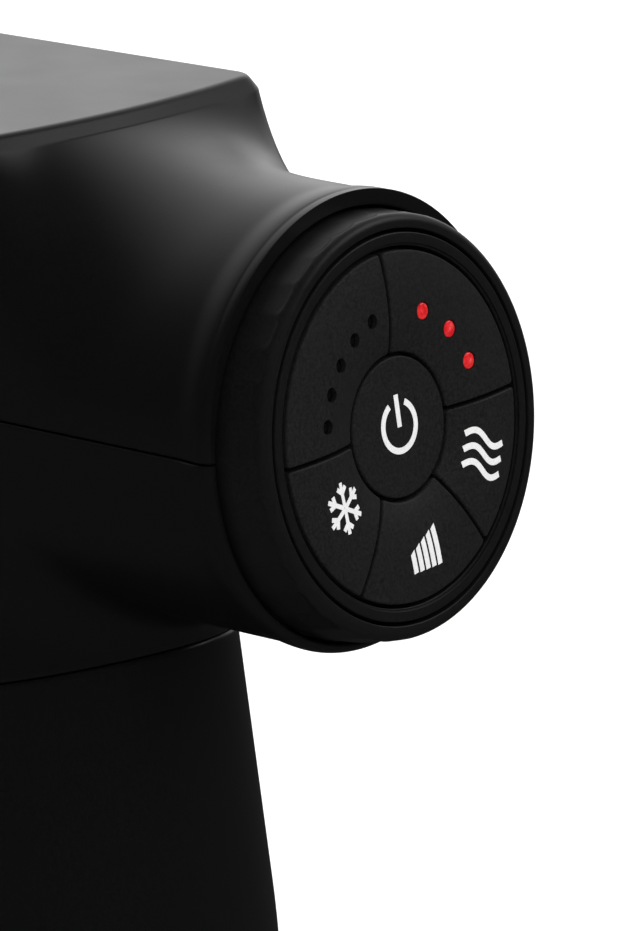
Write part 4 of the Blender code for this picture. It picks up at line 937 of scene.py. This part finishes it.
# name, towards where it hangs, angle in degrees, strength, whether gloss shows it
softboxes = (("overheadSoftbox", (0.05, 0.02, 1), 35, 0.8, False),
             ("dialSoftbox", (0.8, -0.35, 0.5), 50, 1.4, False),
             ("rimSoftbox", (0.5, 0.68, 0.53), 30, 0.3, True),
             ("backSoftbox", (-0.62, 0.74, 0.22), 40, 0.14, True))
shot = {"from": (0.6732, -0.7491, 0.4189), "at": (0.0422, 0, 0.1652), "lens": 296.2, "sensor": 36}


def makeStudio():
    scene = bpy.context.scene
    white = (1, 1, 1, 1)
    bpy.ops.mesh.primitive_plane_add(size=studio["floorSize"])
    ground = bpy.context.object
    ground.name = "floor"
    made, tree, shader = newMaterial("paintedFloor", {"Roughness": 0.9, "Specular IOR Level": 0.1})
    shader.inputs["Base Color"].default_value = linearColour(studio["floorColour"])
    seen = addNode(tree, "ShaderNodeLightPath")
    # pale paint that glows a little for camera rays, so it comes out white and still takes a shadow
    glow = addNode(tree, "ShaderNodeEmission", values={"Color": white, "Strength": studio["floorLight"]})
    lit = addNode(tree, "ShaderNodeAddShader", {0: shader.outputs[0], 1: glow.outputs[0]})
    rays = {0: seen.outputs["Is Camera Ray"], 1: seen.outputs["Is Transmission Ray"]}
    direct = addNode(tree, "ShaderNodeMath", rays, operation="MAXIMUM")
    mix = addNode(tree, "ShaderNodeMixShader", {0: direct.outputs[0], 1: shader.outputs[0], 2: lit.outputs[0]})
    # gloss sees the floor dim, so undersides stay near black
    dim = addNode(tree, "ShaderNodeEmission", values={"Color": white, "Strength": studio["floorInGloss"]})
    surface = addNode(tree, "ShaderNodeMixShader",
                      {0: seen.outputs["Is Glossy Ray"], 1: mix.outputs[0], 2: dim.outputs[0]})
    tree.links.new(surface.outputs[0], tree.nodes["Material Output"].inputs["Surface"])
    ground.data.materials.append(made)

    world = bpy.data.worlds.new("studio")
    scene.world = world
    world.use_nodes = True
    tree = world.node_tree
    tree.nodes.clear()
    path = addNode(tree, "ShaderNodeLightPath")
    place = addNode(tree, "ShaderNodeTexCoord").outputs["Generated"]
    # glossy rays see a white wall on the far left, fading to a dark room on the side of the user
    behind = addNode(tree, "ShaderNodeVectorMath", {0: place}, {1: studio["glossTowards"]}, operation="DOT_PRODUCT")
    fade = addNode(tree, "ShaderNodeMapRange", {"Value": behind.outputs["Value"]},
                   {"From Min": studio["glossFrom"], "From Max": 1.0, "To Min": 0.0, "To Max": 1.0})
    soften = addNode(tree, "ShaderNodeMath", {0: fade.outputs["Result"]}, {1: studio["glossPower"]},
                     operation="POWER")
    wall = addNode(tree, "ShaderNodeBackground", {"Strength": soften.outputs[0]}, {"Color": white})
    fill = addNode(tree, "ShaderNodeBackground", values={"Color": white, "Strength": studio["fill"]})
    clear = addNode(tree, "ShaderNodeBackground", values={"Color": white, "Strength": 1})
    lights = addNode(tree, "ShaderNodeMixShader",
                     {0: path.outputs["Is Glossy Ray"], 1: fill.outputs[0], 2: wall.outputs[0]})
    rays = {0: path.outputs["Is Camera Ray"], 1: path.outputs["Is Transmission Ray"]}
    direct = addNode(tree, "ShaderNodeMath", rays, operation="MAXIMUM")
    backdrop = addNode(tree, "ShaderNodeMixShader", {0: direct.outputs[0], 1: lights.outputs[0], 2: clear.outputs[0]})
    addNode(tree, "ShaderNodeOutputWorld", {"Surface": backdrop.outputs[0]})

    for name, towards, angle, strength, inGloss in softboxes:
        light = bpy.data.lights.new(name, "SUN")
        light.angle = radians(angle)
        light.energy = strength
        made = bpy.data.objects.new(name, light)
        made.rotation_euler = Vector(towards).to_track_quat("Z", "Y").to_euler()
        made.visible_glossy = inGloss
        scene.collection.objects.link(made)

    camera = bpy.data.cameras.new("camera")
    view = bpy.data.objects.new("camera", camera)
    view.location = shot["from"]
    view.rotation_euler = (Vector(shot["at"]) - view.location).to_track_quat("-Z", "Y").to_euler()
    camera.sensor_fit = "VERTICAL"
    camera.sensor_height = shot["sensor"]
    camera.lens = shot["lens"]
    scene.collection.objects.link(view)
    scene.camera = view
    scene.view_settings.view_transform = "Standard"
    print("studio made")


makeStudio()
